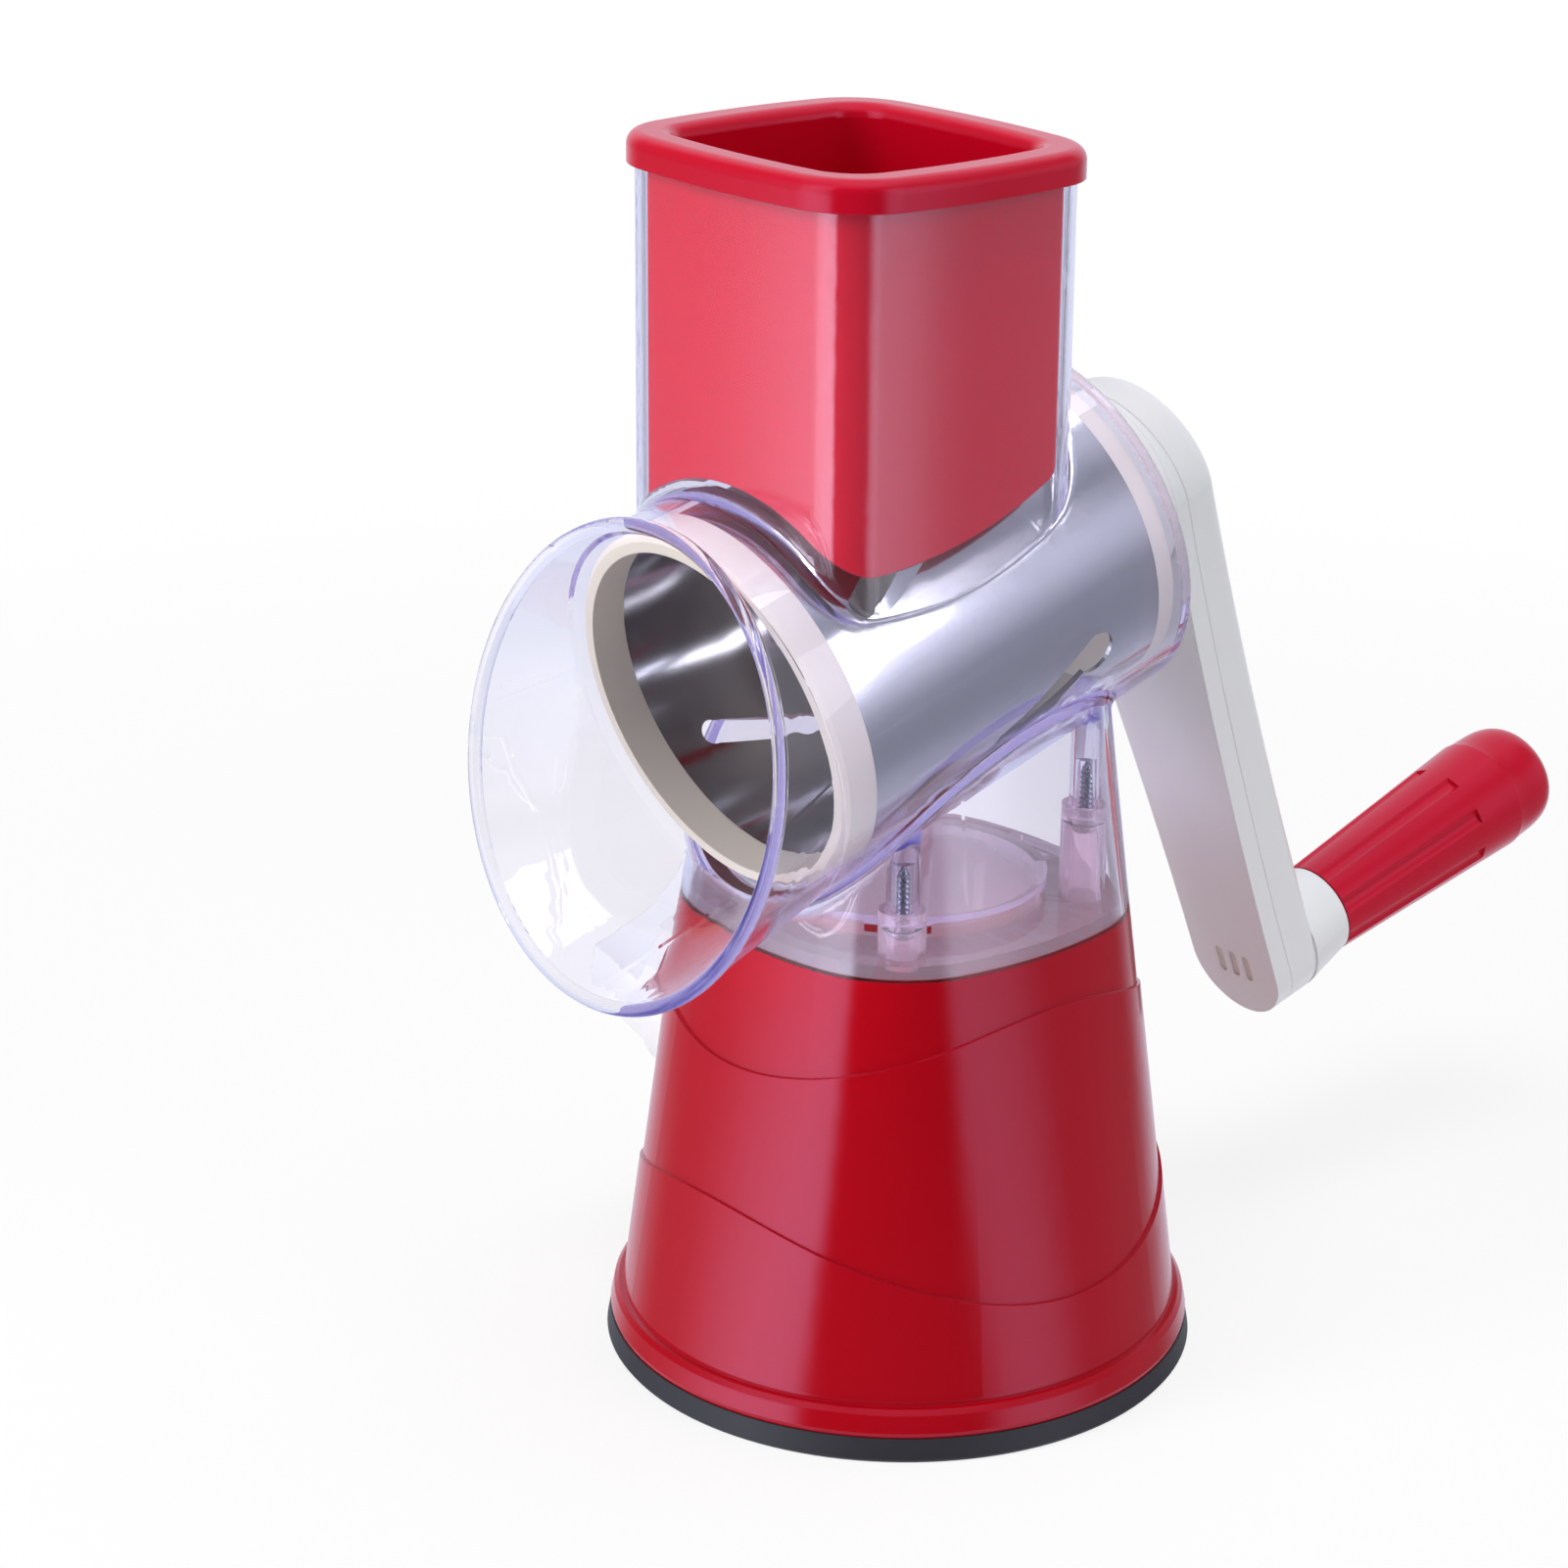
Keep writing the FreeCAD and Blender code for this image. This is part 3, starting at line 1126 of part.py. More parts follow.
def make_crank_arm():
    """The inner shell of the arm, with the collar that meets the drum."""
    arm = arm_slab(d.arm_inner, d.arm_slope, d.arm_parting, d.arm_slope)
    hollow = arm_slab(d.arm_inner + d.arm_wall, d.arm_slope, d.arm_parting + 1, d.arm_slope, d.arm_wall)
    keep = box(-FAR, FAR, -FAR, d.arm_waist, 0, FAR)
    arm = arm.cut(hollow.cut(keep))
    collar = rod(d.collar_radius, d.collar_start, d.arm_inner + 1)
    arm = arm.fuse(collar.cut(arm))
    arm = arm.cut(box(-d.drive_half, d.drive_half, -d.drive_half, d.drive_half, 0, FAR))
    near = d.slide_half + d.spring_length
    far = near + d.spring_stop
    arm = arm.fuse(on_seam(((near, -1), (far, -1), (far, d.stop_height), (near, d.stop_height))))
    for index in (-1, 0, 1):
        x = index * d.vent_pitch
        y = d.vent_place - d.vent_length / 2
        vent = box(x - d.vent_half, x + d.vent_half, y, y + d.vent_length, 0, FAR)
        vent = joined(vent, rod(d.vent_half, 0, FAR, x, y), rod(d.vent_half, 0, FAR, x, y + d.vent_length))
        arm = arm.cut(vent)
    return part_feature("crank_arm", arm.removeSplitter(), DRUM)


def shield(half, top, low, high):
    """The button's outline: a flat upper end and a round lower one."""
    flat = box(-half, half, top, top + half, low, high)
    return flat.fuse(rod(half, low, high, 0, top + half))


def outer_face(place):
    """Height of the arm's outer face at a place along the arm."""
    return d.arm_outer + d.arm_outer_slope * place


def make_arm_cover():
    """The outer shell of the arm, with the grip's collar."""
    cover = arm_slab(d.arm_parting, d.arm_slope, d.arm_outer, d.arm_outer_slope)
    lean = math.atan(d.arm_outer_slope)
    normal = V(0, -math.sin(lean), math.cos(lean))
    faces = [face for face in cover.Faces if face.normalAt(0, 0).dot(normal) > 0.9999]
    cover = cover.makeFillet(d.arm_edge, faces[0].Edges)
    inside = d.arm_outer - d.arm_wall
    hollow = arm_slab(d.arm_parting - 1, d.arm_slope, inside, d.arm_outer_slope, d.arm_wall)
    cover = cover.cut(hollow)
    low = outer_face(d.arm_length) - d.arm_wall
    collar = Part.makeCone(d.arm_end_radius, d.grip_inner_radius, d.grip_start - d.grip_gap - low,
                           V(0, d.arm_length, low))
    cover = cover.fuse(collar)
    cover = cover.cut(rod(d.axle_radius, 0, FAR, 0, d.arm_length))
    head_low = axle_head_place()
    cover = cover.cut(rod(d.axle_head_radius + 0.1, 0, head_low + d.axle_head, 0, d.arm_length))
    opening = shield(d.button_half + d.button_gap, d.button_top - d.button_gap, 0, FAR)
    cover = cover.cut(opening)
    scoop_place = d.button_top + 2 * d.button_half + 1
    scoop_height = outer_face(scoop_place) + d.scoop_ball - d.scoop_depth
    scoop = Part.makeSphere(d.scoop_ball, V(0, scoop_place, scoop_height))
    return part_feature("arm_cover", cover.cut(scoop).removeSplitter(), DRUM)


def make_drive_shaft():
    body = new_body("drive_shaft", DRUM)
    pad(body, "square_shaft", rectangle("drive_half", "drive_half"), "drive_front", "arm_parting + 1.2")
    doc.recompute()
    head = body.newObject("PartDesign::Pad", "shaft_head")
    sketch = sketch_circle(body, "shaft_head_outline", "XY_Plane", "drive_head_radius")
    sketch.setExpression("AttachmentOffset.Base.z", bound("arm_parting + 1.2"))
    head.Profile = sketch
    head.setExpression("Length", bound("drive_head"))
    return body


def button_slope_slab(low, high):
    """A block between two planes that lean as the arm's outer face does."""
    near, far = 0, d.arm_length
    return prism_along_x((
        (near, outer_face(near) + low),
        (far, outer_face(far) + low),
        (far, outer_face(far) + high),
        (near, outer_face(near) + high),
    ), d.arm_top_radius)


def make_release_button():
    """A red shield with two ridges. The sloped foot of its stem pushes the slide."""
    plate = shield(d.button_half, d.button_top, 0, FAR)
    button = plate.common(button_slope_slab(d.button_proud - d.button_thickness, d.button_proud))
    line = shield(d.button_half - 1.5, d.button_top + 1.5, 0, FAR)
    line = line.cut(shield(d.button_half - 1.9, d.button_top + 1.9, -1, FAR + 1))
    button = button.cut(line.common(button_slope_slab(d.button_proud - 0.3, d.button_proud + 1)))
    for y in (d.button_top + 5, d.button_top + 8.5):
        ridge = box(-2.6, 2.6, y, y + 1.1, 0, FAR)
        button = button.fuse(ridge.common(button_slope_slab(d.button_proud - 1, d.button_proud + 0.5)))
    slide_top = d.slide_lift + d.slide_thickness
    low = slide_top + d.button_travel + d.foot_gap
    high = d.arm_outer - d.arm_parting + d.button_proud - d.button_thickness + 1
    flat_end = d.stem_flat - d.stem_half
    stem = on_seam((
        (-d.stem_half, low),
        (flat_end, low),
        (d.stem_half, low + d.stem_half - flat_end),
        (d.stem_half, high),
        (-d.stem_half, high),
    ))
    return part_feature("release_button", button.fuse(stem), DRUM)


def make_latch_slide():
    """A plate inside the arm. Its ramp turns the button's travel into a slide across the arm."""
    low = d.arm_parting + d.slide_lift
    high = low + d.slide_thickness
    plate = prism_along_x((
        (d.slide_start, low + d.arm_slope * d.slide_start),
        (d.slide_end, low + d.arm_slope * d.slide_end),
        (d.slide_end, high + d.arm_slope * d.slide_end),
        (d.slide_start, high + d.arm_slope * d.slide_start),
    ), d.slide_half)
    bottom = d.slide_lift + d.slide_thickness
    crest = bottom + d.button_travel + d.ramp_spare
    lead = d.button_travel + d.foot_gap - d.ramp_gap * math.sqrt(2)
    start = d.stem_flat - d.stem_half - lead
    ramp = on_seam((
        (start - 0.5, bottom - 1),
        (start, bottom),
        (start + crest - bottom, crest),
        (d.slide_half, crest),
        (d.slide_half, bottom - 1),
    ))
    return part_feature("latch_slide", plate.fuse(ramp).removeSplitter(), DRUM)


def make_button_spring():
    middle = d.button_stem + d.stem_depth / 2
    height = d.arm_parting + d.arm_slope * middle + d.spring_radius + d.spring_lift
    sleeve = spring_sleeve(d.spring_radius, d.spring_wall, d.spring_length)
    sleeve.rotate(V(0, 0, 0), V(0, 1, 0), 90)
    sleeve.translate(V(d.slide_half, middle, height))
    return part_feature("button_spring", sleeve, DRUM)


# Grip

def axle_head_place():
    """Underside of the axle's head, along the drum's axis."""
    inner = outer_face(d.arm_length - d.axle_head_radius) - d.arm_wall
    return inner - d.axle_head - 0.2


def make_grip_axle():
    head_low = axle_head_place()
    head = rod(d.axle_head_radius, head_low, head_low + d.axle_head)
    axle = head.fuse(rod(d.axle_radius - 0.02, head_low, d.axle_end))
    hole = rod(d.grip_screw_radius + d.thread_gap, d.axle_end - d.grip_screw_length, d.axle_end + 1)
    return part_feature("grip_axle", axle.cut(hole), GRIP)


def make_grip_screw():
    head = d.washer_radius, d.washer_thickness
    one = screw(*head, d.grip_screw_radius, d.grip_screw_length, d.screw_point)
    one.rotate(V(0, 0, 0), V(1, 0, 0), 180)
    one.translate(V(0, 0, d.axle_end))
    return part_feature("grip_screw", one, GRIP)


def make_grip():
    """A turned handle with flutes that run out before its round nose."""
    rise = d.grip_full_radius - d.grip_inner_radius
    run = d.grip_widest - d.grip_start
    nose = d.grip_end - d.grip_widest
    points = [V(d.grip_full_radius, 0, d.grip_widest)]
    for angle in (30, 60):
        turn = math.radians(angle)
        points.append(V(
            d.grip_nose_radius + (d.grip_full_radius - d.grip_nose_radius) * math.cos(turn), 0,
            d.grip_widest + nose * math.sin(turn)))
    points.append(V(d.grip_nose_radius, 0, d.grip_end))
    curve = Part.BSplineCurve()
    curve.interpolate(points)
    edges = [
        Part.makeLine(V(0, 0, d.grip_start), V(d.grip_inner_radius, 0, d.grip_start)),
        Part.makeLine(V(d.grip_inner_radius, 0, d.grip_start), points[0]),
        curve.toShape(),
        Part.makeLine(points[-1], V(0, 0, d.grip_end)),
        Part.makeLine(V(0, 0, d.grip_end), V(0, 0, d.grip_start)),
    ]
    grip = Part.Face(Part.Wire(edges)).revolve(V(0, 0, 0), V(0, 0, 1), 360)
    slope = math.degrees(math.atan(rise / run))
    for index in range(int(d.flute_count)):
        reach = d.grip_inner_radius - d.flute_depth + d.flute_radius
        flute = Part.makeCylinder(d.flute_radius, d.flute_end - d.grip_start, V(0, 0, 0))
        flute.rotate(V(0, 0, 0), V(0, 1, 0), slope)
        flute.translate(V(reach, 0, d.grip_start))
        flute.rotate(V(0, 0, 0), V(0, 0, 1), 360 / d.flute_count * (index + 0.5))
        grip = grip.cut(flute)
    grip = grip.cut(rod(d.axle_radius + d.axle_gap, d.grip_start - 1, d.axle_end))
    well_low = d.axle_end - d.washer_gap
    seat = d.grip_end - d.end_cap_thickness
    grip = grip.cut(rod(d.grip_well_radius, well_low, seat + 0.1))
    grip = grip.cut(rod(d.end_cap_radius + d.end_cap_gap, seat, d.grip_end + 1))
    return part_feature("grip", grip, GRIP)


def make_grip_end_cap():
    body = new_body("grip_end_cap", GRIP)
    revolve(body, "cap_disc", (
        ("0", "grip_end - end_cap_thickness"),
        ("end_cap_radius", "grip_end - end_cap_thickness"),
        ("end_cap_radius", "grip_end - 0.2"),
        ("end_cap_radius - 0.5", "grip_end + 0.2"),
        ("0", "grip_end + 0.5"),
    ))
    return body


pieces = [
    make_base_shell(),
    make_foot_ring(),
    make_base_frame(),
    make_frame_screws(),
    make_suction_pad(),
    make_plunger(),
    make_cam_shaft(),
    make_lock_knob(),
    make_knob_inlay(),
    make_knob_screw(),
    make_latch_tab(),
    make_latch_spring(),
    make_housing(),
    make_housing_floor(),
    make_housing_screws(),
    make_food_pusher(),
    make_drum_sheet(),
    make_drum_front_ring(),
    make_drum_rear_cap(),
    make_crank_arm(),
    make_arm_cover(),
    make_drive_shaft(),
    make_release_button(),
    make_latch_slide(),
    make_button_spring(),
    make_grip_axle(),
    make_grip_screw(),
    make_grip(),
    make_grip_end_cap(),
]

doc.recompute()
for item in doc.Objects:
    if "Invalid" in item.State or "Error" in item.State:
        raise ValueError(f"{item.Label} failed: {item.State}")
os.makedirs("parts", exist_ok=True)
for piece in pieces:
    shape = piece.Shape
    if shape.isNull() or not shape.isValid() or shape.Volume <= 0:
        raise ValueError(f"{piece.Label} has no sound shape")
    shape.exportStep(os.path.join("parts", piece.Label + ".step"))
    extent = shape.BoundBox
    print(f"{piece.Label}: {len(shape.Solids)} solid, {shape.Volume / 1000:.1f} cm3, "
          f"z {extent.ZMin:.1f} to {extent.ZMax:.1f}")
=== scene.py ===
import json
import math
import bpy
from mathutils import Matrix, Vector
from mathutils.bvhtree import BVHTree

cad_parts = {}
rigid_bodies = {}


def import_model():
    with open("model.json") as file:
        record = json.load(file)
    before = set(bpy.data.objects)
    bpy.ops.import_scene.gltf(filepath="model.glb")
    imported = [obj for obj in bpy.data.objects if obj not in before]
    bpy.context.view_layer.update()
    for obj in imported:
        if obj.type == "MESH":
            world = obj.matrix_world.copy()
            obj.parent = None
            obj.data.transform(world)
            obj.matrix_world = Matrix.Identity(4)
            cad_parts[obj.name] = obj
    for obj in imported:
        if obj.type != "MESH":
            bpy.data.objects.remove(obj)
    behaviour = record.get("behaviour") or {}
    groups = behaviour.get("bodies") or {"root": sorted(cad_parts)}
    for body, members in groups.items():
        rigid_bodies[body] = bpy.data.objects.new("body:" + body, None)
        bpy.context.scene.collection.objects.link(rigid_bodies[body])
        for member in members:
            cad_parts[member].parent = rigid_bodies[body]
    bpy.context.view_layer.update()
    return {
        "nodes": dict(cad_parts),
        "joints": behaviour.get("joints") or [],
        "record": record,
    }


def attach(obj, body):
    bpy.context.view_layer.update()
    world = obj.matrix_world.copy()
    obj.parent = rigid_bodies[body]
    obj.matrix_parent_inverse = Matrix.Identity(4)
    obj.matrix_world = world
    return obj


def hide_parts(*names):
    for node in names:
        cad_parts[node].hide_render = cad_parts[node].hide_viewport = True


# A hand-cranked drum slicer on a red suction base: clear body and hopper, steel drum, white crank and lock
# knob, red pusher and grip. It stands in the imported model's frame: +Z up, the outlet to -Y, the crank to +Y.
# Lengths are in metres, or in millimetres where a name or a comment says so.

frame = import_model()
MM = 0.001
scene = bpy.context.scene
scene.view_settings.view_transform = "Standard"
# Light passes many clear walls here, one behind another
BOUNCES = 24
scene.cycles.max_bounces = BOUNCES
scene.cycles.transmission_bounces = BOUNCES
scene.cycles.glossy_bounces = BOUNCES
scene.cycles.transparent_max_bounces = BOUNCES


# Camera

CAMERA_AZIMUTH = math.radians(48.06)
CAMERA_ELEVATION = math.radians(19.25)
CAMERA_ROLL = math.radians(1.09)
CAMERA_TARGET = Vector((0, 0, 140)) * MM
CAMERA_DISTANCE = 821 * MM
LENS_MM = 88.62
SENSOR_MM = 36
LENS_SHIFT_X = -0.0796
LENS_SHIFT_Y = -0.0356


def place_camera():
    """The photograph's angle: a long lens a little above the outlet, held with a slight roll."""
    away = Vector((
        math.sin(CAMERA_AZIMUTH) * math.cos(CAMERA_ELEVATION),
        -math.cos(CAMERA_AZIMUTH) * math.cos(CAMERA_ELEVATION),
        math.sin(CAMERA_ELEVATION),
    ))
    level = Vector((0, 0, 1)).cross(away).normalized()
    upright = away.cross(level)
    right = level * math.cos(CAMERA_ROLL) + upright * math.sin(CAMERA_ROLL)
    up = upright * math.cos(CAMERA_ROLL) - level * math.sin(CAMERA_ROLL)
    place = CAMERA_TARGET + away * CAMERA_DISTANCE
    data = bpy.data.cameras.new("camera")
    data.lens = LENS_MM
    data.sensor_width = SENSOR_MM
    data.shift_x = LENS_SHIFT_X
    data.shift_y = LENS_SHIFT_Y
    data.clip_start = 50 * MM
    camera = bpy.data.objects.new("camera", data)
    camera.matrix_world = Matrix((
        (right.x, up.x, away.x, place.x),
        (right.y, up.y, away.y, place.y),
        (right.z, up.z, away.z, place.z),
        (0, 0, 0, 1),
    ))
    scene.collection.objects.link(camera)
    scene.camera = camera


# Colours and nodes

def linear(code):
    """An sRGB hex value as linear red, green, blue and alpha."""
    shares = [int(code[place:place + 2], 16) / 255 for place in (1, 3, 5)]
    return tuple(share / 12.92 if share <= 0.04045 else ((share + 0.055) / 1.055) ** 2.4
                 for share in shares) + (1.0,)


def add(tree, kind, settings=None, links=None):
    """A node with its settings, and links from other nodes' outputs into its inputs. A setting that has the
    name or number of an input is set on that input, and any other on the node."""
    node = tree.nodes.new(kind)
    for name, value in (settings or {}).items():
        if isinstance(name, int) or name in node.inputs:
            node.inputs[name].default_value = value
        else:
            setattr(node, name, value)
    for name, source in (links or {}).items():
        tree.links.new(source, node.inputs[name])
    return node


def new_material(name):
    """A material with an empty node tree."""
    material = bpy.data.materials.new(name)
    material.use_nodes = True
    material.node_tree.nodes.clear()
    return material, material.node_tree


# Materials

def moulded_plastic(name, colour, roughness, skin_mm, ripple_mm=0.03, grain_mm=0.8, edge_mm=0.35,
                    subsurface=0.0, shine="#FFFFFF"):
    """Injection-moulded plastic: an even colour, a slow ripple that bends the highlights, a fine skin, and
    edges softened by the mould's radius. The skin's grain is drawn coarser than the real one, or it would be
    too fine to show."""
    sink_spacing_mm = 30
    scatter_depth_mm = 1.5
    smoothest, roughest = roughness * 0.85, roughness * 1.2
    material, tree = new_material(name)
    place = add(tree, "ShaderNodeTexCoord").outputs["Object"]
    slow = add(tree, "ShaderNodeTexNoise", {"Scale": 1 / (sink_spacing_mm * MM), "Detail": 1.0},
               {"Vector": place})
    fine = add(tree, "ShaderNodeTexNoise", {"Scale": 1 / (grain_mm * MM), "Detail": 2.0}, {"Vector": place})
    edge = add(tree, "ShaderNodeBevel", {"Radius": edge_mm * MM, "samples": 4})
    sink = add(tree, "ShaderNodeBump", {"Strength": 1.0, "Distance": ripple_mm * MM},
               {"Height": slow.outputs[0], "Normal": edge.outputs[0]})
    skin = add(tree, "ShaderNodeBump", {"Strength": 1.0, "Distance": skin_mm * MM},
               {"Height": fine.outputs[0], "Normal": sink.outputs[0]})
    gloss = add(tree, "ShaderNodeMapRange", {"To Min": smoothest, "To Max": roughest},
                {"Value": slow.outputs[0]})
    shader = add(tree, "ShaderNodeBsdfPrincipled", {
        "Base Color": linear(colour),
        "IOR": 1.5,
        "Specular Tint": linear(shine),
        "Subsurface Weight": subsurface,
        "Subsurface Scale": scatter_depth_mm * MM,
        "Subsurface Radius": (1.0, 0.8, 0.7),
    }, {"Roughness": gloss.outputs[0], "Normal": skin.outputs[0]})
    add(tree, "ShaderNodeOutputMaterial", links={"Surface": shader.outputs[0]})
    return material


def clear_plastic(name, colour, clearness, painted_haze_glow=0.0):
    """Clear moulded SAN: bright faces, and edges that go lilac from a real tint and a painted lilac glow."""
    wave_spacing_mm = 35
    wave_depth_mm = 0.02
    # Light that was mirrored this often is caught in a wall, and from there the wall shows a painted lilac
    # glow
    trapped_after = 7.0
    material, tree = new_material(name)
    place = add(tree, "ShaderNodeTexCoord").outputs["Object"]
    slow = add(tree, "ShaderNodeTexNoise", {"Scale": 1 / (wave_spacing_mm * MM), "Detail": 0.5},
               {"Vector": place})
    wave = add(tree, "ShaderNodeBump", {"Strength": 1.0, "Distance": wave_depth_mm * MM},
               {"Height": slow.outputs[0]})
    shader = add(tree, "ShaderNodeBsdfPrincipled", {
        "Base Color": linear(colour),
        "IOR": 1.5,
        "Roughness": 0.0,
        "Transmission Weight": clearness,
        # Painted pink glow, at the strength given, for light scattered inside a milky wall
        "Emission Color": linear("#F3DCEA"),
        "Emission Strength": painted_haze_glow,
    }, {"Normal": wave.outputs[0]})
    path = add(tree, "ShaderNodeLightPath")
    trapped = add(tree, "ShaderNodeMath", {"operation": "GREATER_THAN", 1: trapped_after},
                  {0: path.outputs["Glossy Depth"]})
    # Painted lilac glow of the wall's edges, in place of the light caught in the wall
    painted_edge_glow = add(tree, "ShaderNodeEmission", {"Color": linear("#CFC6EE"), "Strength": 0.9})
    wall = add(tree, "ShaderNodeMixShader", links={"Fac": trapped.outputs[0], 1: shader.outputs[0],
                                                   2: painted_edge_glow.outputs[0]})
    # Lamps shine straight through, so that a clear wall throws hardly any shadow
    shadow = add(tree, "ShaderNodeBsdfTransparent", {"Color": linear("#F8F7FB")})
    mix = add(tree, "ShaderNodeMixShader", links={"Fac": path.outputs["Is Shadow Ray"], 1: wall.outputs[0],
                                                  2: shadow.outputs[0]})
    tint = add(tree, "ShaderNodeVolumeAbsorption", {"Color": linear("#8C7BDC"), "Density": 16.0})
    add(tree, "ShaderNodeOutputMaterial", links={"Surface": mix.outputs[0], "Volume": tint.outputs[0]})
    return material


def metal(name, colour, roughness, grain_mm, grain_depth_mm):
    """Polished or plated steel: slow dents that bend the reflections, and a grain that is only just felt in
    them. The grain is drawn coarser than real polishing marks, or it would be too fine to show."""
    dent_spacing_mm = 25
    dent_depth_mm = 0.04
    smoothest, roughest = roughness * 0.7, roughness * 1.3
    material, tree = new_material(name)
    place = add(tree, "ShaderNodeTexCoord").outputs["Object"]
    slow = add(tree, "ShaderNodeTexNoise", {"Scale": 1 / (dent_spacing_mm * MM), "Detail": 1.0},
               {"Vector": place})
    grain = add(tree, "ShaderNodeTexNoise", {"Scale": 1 / (grain_mm * MM), "Detail": 3.0}, {"Vector": place})
    dent = add(tree, "ShaderNodeBump", {"Strength": 1.0, "Distance": dent_depth_mm * MM},
               {"Height": slow.outputs[0]})
    bump = add(tree, "ShaderNodeBump", {"Strength": 1.0, "Distance": grain_depth_mm * MM},
               {"Height": grain.outputs[0], "Normal": dent.outputs[0]})
    gloss = add(tree, "ShaderNodeMapRange", {"To Min": smoothest, "To Max": roughest},
                {"Value": grain.outputs[0]})
    shader = add(tree, "ShaderNodeBsdfPrincipled", {"Base Color": linear(colour), "Metallic": 1.0},
                 {"Roughness": gloss.outputs[0], "Normal": bump.outputs[0]})
    add(tree, "ShaderNodeOutputMaterial", links={"Surface": shader.outputs[0]})
    return material


# Glossy ABS of the base: a deep red, with long soft highlights that turn pink
red_abs = moulded_plastic("glossy_red_abs", "#B00010", roughness=0.16, skin_mm=0.0004, shine="#F0D2FF")
# Polypropylene of the pusher, grip and button: a brighter red, partly its own colour and partly painted light
# for the stronger light on these parts, a little softer in its shine
red_polypropylene_painted_brighter = moulded_plastic("red_polypropylene_painted_brighter", "#CC0626", roughness=0.2, skin_mm=0.0004,
                                    shine="#F0D2FF")
# White ABS of the crank, knob and latch: a cool white with a satin shine and soft edges
white_abs = moulded_plastic("white_abs", "#F6F8FC", roughness=0.3, skin_mm=0.0006, ripple_mm=0.04,
                            edge_mm=0.6, subsurface=0.05)
# Creamy polypropylene of the drum's ends: a warm, waxy white with light in its edges
cream_polypropylene = moulded_plastic("cream_polypropylene", "#E0D7CE", roughness=0.36, skin_mm=0.001,
                                      ripple_mm=0.04, grain_mm=0.9, subsurface=0.1)
# Natural nylon of the hidden frame parts: off-white, dull and waxy
natural_nylon = moulded_plastic("natural_nylon", "#D5D1C6", roughness=0.5, skin_mm=0.003, grain_mm=0.9,
                                subsurface=0.1)
# Black rubber of the foot: dull, a little grainy
black_rubber = moulded_plastic("black_rubber", "#2A2A2F", roughness=0.55, skin_mm=0.01, grain_mm=0.9)
# Ink of the marks by the lock knob: a flat, even black
black_ink = moulded_plastic("black_pad_printing_ink", "#1B1518", roughness=0.5, skin_mm=0.0005,
                            ripple_mm=0.0, edge_mm=0.02)
# Clear SAN of the body and hopper: as clear as glass, lilac at the edges from its tint and a painted glow
clear_san = clear_plastic("clear_styrene_acrylonitrile", "#FAF9FF", clearness=0.99)
# The same in the floor under the drum: a little milky, tinted pink as painted light from the red below it,
# with a faint painted pink glow
milky_san_painted_glow = clear_plastic("milky_styrene_acrylonitrile_painted_glow", "#F5E4EE", clearness=0.82, painted_haze_glow=0.06)
# Polished stainless sheet of the drum: a mirror with soft edges to its bright and dark bands
polished_steel = metal("polished_stainless_sheet", "#DAD9DC", roughness=0.13, grain_mm=0.7,
                       grain_depth_mm=0.0003)
# Zinc plate of the screws and pins: a greyer metal with a broader shine
zinc_steel = metal("zinc_plated_steel", "#A9ABB0", roughness=0.28, grain_mm=0.5, grain_depth_mm=0.002)
# Drawn spring wire: dark and slightly rough
spring_wire = metal("drawn_spring_wire", "#96989C", roughness=0.32, grain_mm=0.4, grain_depth_mm=0.003)

FINISHES = {
    "red_shell": red_abs,
    "white_plastic": white_abs,
    "cream_plastic": cream_polypropylene,
    "clear_plastic": clear_san,
    "black_rubber": black_rubber,
    "pad_rubber": black_rubber,
    "drum_steel": polished_steel,
    "screw_steel": zinc_steel,
    "frame_plastic": natural_nylon,
    "spring_steel": spring_wire,
}
NODE_FINISHES = {
    "food_pusher": red_polypropylene_painted_brighter,
    "grip": red_polypropylene_painted_brighter,
    "knob_inlay": red_polypropylene_painted_brighter,
    "release_button": red_polypropylene_painted_brighter,
    "housing_floor": milky_san_painted_glow,
}


def dress_nodes():
    """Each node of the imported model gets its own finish, or that of its slot."""
    for part in frame["record"]["subparts"]:
        node = bpy.data.objects[part["node"]]
        for holder in node.material_slots:
            holder.material = NODE_FINISHES.get(part["node"], FINISHES[part["material_slot"]])


# Meshes

def ring_faces(start, rings, around):
    """Quads between rings of points, all with the same count."""
    faces = []
    for ring in range(rings - 1):
        near = start + ring * around
        far = near + around
        for step in range(around):
            following = (step + 1) % around
            faces.append((near + step, near + following, far + following, far + step))
    return faces


def new_piece(name, points, faces, material, body, smooth=True):
    """A piece of the object that rides on a body."""
    mesh = bpy.data.meshes.new(name)
    mesh.from_pydata([tuple(point) for point in points], [], faces)
    mesh.validate()
    mesh.materials.append(material)
    for face in mesh.polygons:
        face.use_smooth = smooth
    piece = bpy.data.objects.new(name, mesh)
    scene.collection.objects.link(piece)
    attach(piece, body)
    return piece


def wall_of(node):
    """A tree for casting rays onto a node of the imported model."""
    mesh = frame["nodes"][node].data
    place = frame["nodes"][node].matrix_world
    return BVHTree.FromPolygons([place @ vertex.co for vertex in mesh.vertices],
                                [face.vertices for face in mesh.polygons])


def joint_named(name):
    """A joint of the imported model."""
    return next(joint for joint in frame["joints"] if joint["name"] == name)


# Studio

def mirrored(tree):
    """One for a ray that a glossy surface has reflected on its way, else zero."""
    path = add(tree, "ShaderNodeLightPath")
    return add(tree, "ShaderNodeMath", {"operation": "GREATER_THAN", 1: 0.5},
               {0: path.outputs["Glossy Depth"]})


